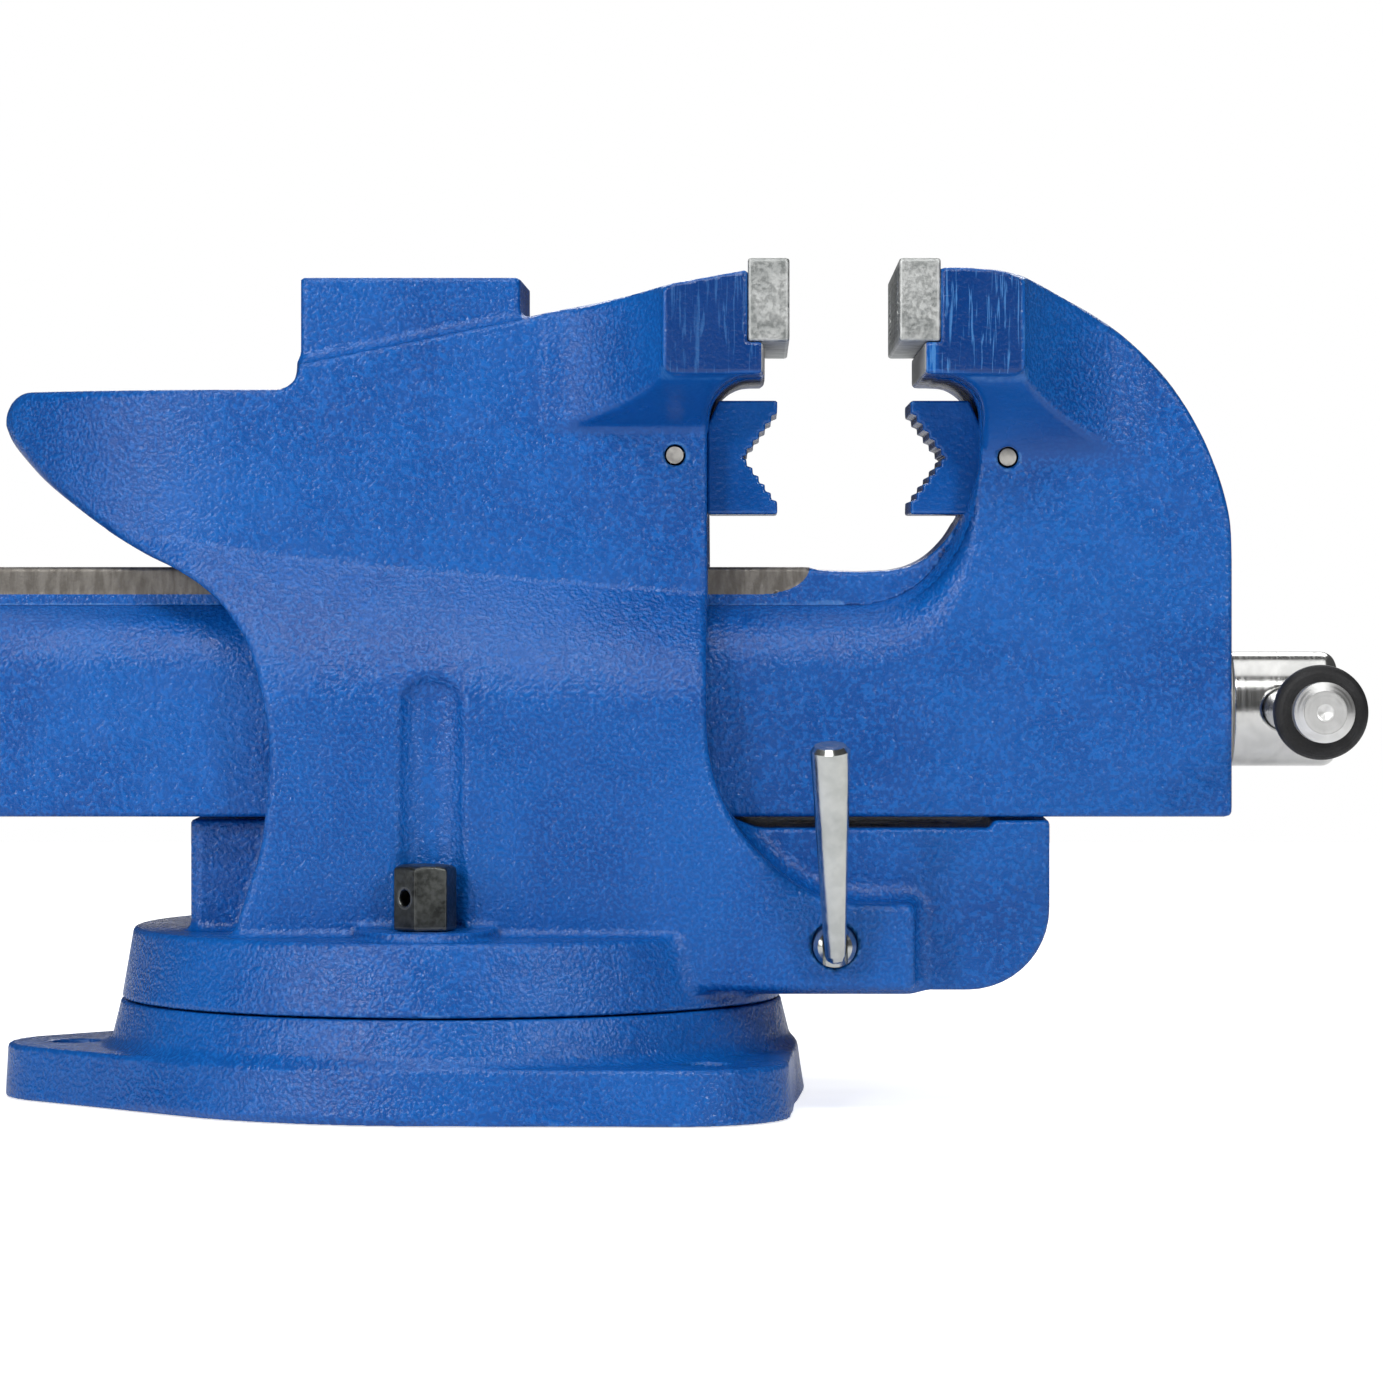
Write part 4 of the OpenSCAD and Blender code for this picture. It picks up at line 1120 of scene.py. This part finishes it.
def dress_carried():
    """Gives every CAD node that stays its procedural material."""
    for look, nodes in CARRIED.items():
        for node in nodes:
            for material_slot in frame["nodes"][node].material_slots:
                material_slot.material = LOOKS[look]


make_castings()
make_small_pieces()
dress_carried()


# ---------------------------------------------------------------- stage, lights, camera

LENS_MM = 156.2
SENSOR_MM = 36
CAMERA_PLACE = (0.0924, -1.8, 0.1601)
CAMERA_SHIFT = (-0.0495, -0.095)
FLOOR_HALF = 1.6
FLOOR_Z = -0.0004
FLOOR_GLOW = (0.1, 0.72)
WORLD_GLOW = (0.07, 1.0)

# Name, place, target, width, height and power in watts
LIGHTS = [
    ("front_left", (-0.98, -1.56, 0.90), (0, 0, 0.12), 0.36, 0.5, 12.5),
    ("front_right", (1.13, -1.45, 0.90), (0.05, 0, 0.12), 0.36, 0.5, 11),
    ("high", (-0.1, -1.15, 1.65), (0, 0, 0.14), 0.9, 0.4, 12),
    ("left", (-1.6, -1.1, 0.42), (0, 0, 0.15), 0.4, 0.6, 5),
    ("back", (0.2, 1.8, 1.2), (0, 0, 0.12), 1.2, 0.7, 12),
    ("top", (0, 0.2, 2.2), (0, 0.2, 0), 1.8, 1.8, 14),
]


def make_camera():
    """A level camera far in front of the vise, shifted to frame it."""
    data = bpy.data.cameras.new("camera")
    camera = bpy.data.objects.new("camera", data)
    bpy.context.scene.collection.objects.link(camera)
    data.sensor_width = SENSOR_MM
    data.lens = LENS_MM
    camera.location = CAMERA_PLACE
    camera.rotation_euler = (math.pi / 2, 0, 0)
    data.shift_x, data.shift_y = CAMERA_SHIFT
    data.clip_end = 50
    bpy.context.scene.camera = camera


def seen_strength(tree, as_light, as_backdrop):
    """A strength that is higher where the stage is seen than where it lights the object."""
    path = tree.nodes.new("ShaderNodeLightPath")
    strength = tree.nodes.new("ShaderNodeMapRange")
    strength.inputs["To Min"].default_value = as_light
    strength.inputs["To Max"].default_value = as_backdrop
    tree.links.new(path.outputs["Is Camera Ray"], strength.inputs["Value"])
    return strength.outputs[0]


def make_floor():
    """A plain white floor just under the base."""
    mesh = bpy.data.meshes.new("floor")
    corners = [(u * FLOOR_HALF, v * FLOOR_HALF, 0) for u, v in ((-1, -1), (1, -1), (1, 1), (-1, 1))]
    mesh.from_pydata(corners, [], [(0, 1, 2, 3)])
    floor = bpy.data.objects.new("floor", mesh)
    bpy.context.scene.collection.objects.link(floor)
    floor.location.z = FLOOR_Z
    look = Look("floor_white", Specular_IOR_Level=0.1)
    look.shader.inputs["Emission Color"].default_value = (1, 1, 1, 1)
    glow = seen_strength(look.material.node_tree, *FLOOR_GLOW)
    look.put(glow, look.shader.inputs["Emission Strength"])
    tone = look.ramp(look.noise(3, 2), 0.3, 0.7)
    mesh.materials.append(look.finish(look.mix(tone, (0.92, 0.92, 0.92), (0.94, 0.94, 0.94)), 0.7))


def make_world():
    """White all round for the camera, and a softer white as light."""
    world = bpy.data.worlds.new("world")
    world.use_nodes = True
    nodes = world.node_tree.nodes
    strength = seen_strength(world.node_tree, *WORLD_GLOW)
    world.node_tree.links.new(strength, nodes["Background"].inputs["Strength"])
    nodes["Background"].inputs["Color"].default_value = (1, 1, 1, 1)
    bpy.context.scene.world = world


def area_light(name, place, target, width, height, power):
    """A rectangular light at place that faces target."""
    data = bpy.data.lights.new(name, "AREA")
    data.shape = "RECTANGLE"
    data.size = width
    data.size_y = height
    data.energy = power
    lamp = bpy.data.objects.new(name, data)
    lamp.location = place
    lamp.rotation_euler = (Vector(target) - Vector(place)).to_track_quat("-Z", "Y").to_euler()
    bpy.context.scene.collection.objects.link(lamp)


make_camera()
make_floor()
make_world()
for light in LIGHTS:
    area_light(*light)
# The default transform greys the white backdrop and washes the blue out
bpy.context.scene.view_settings.view_transform = "Standard"
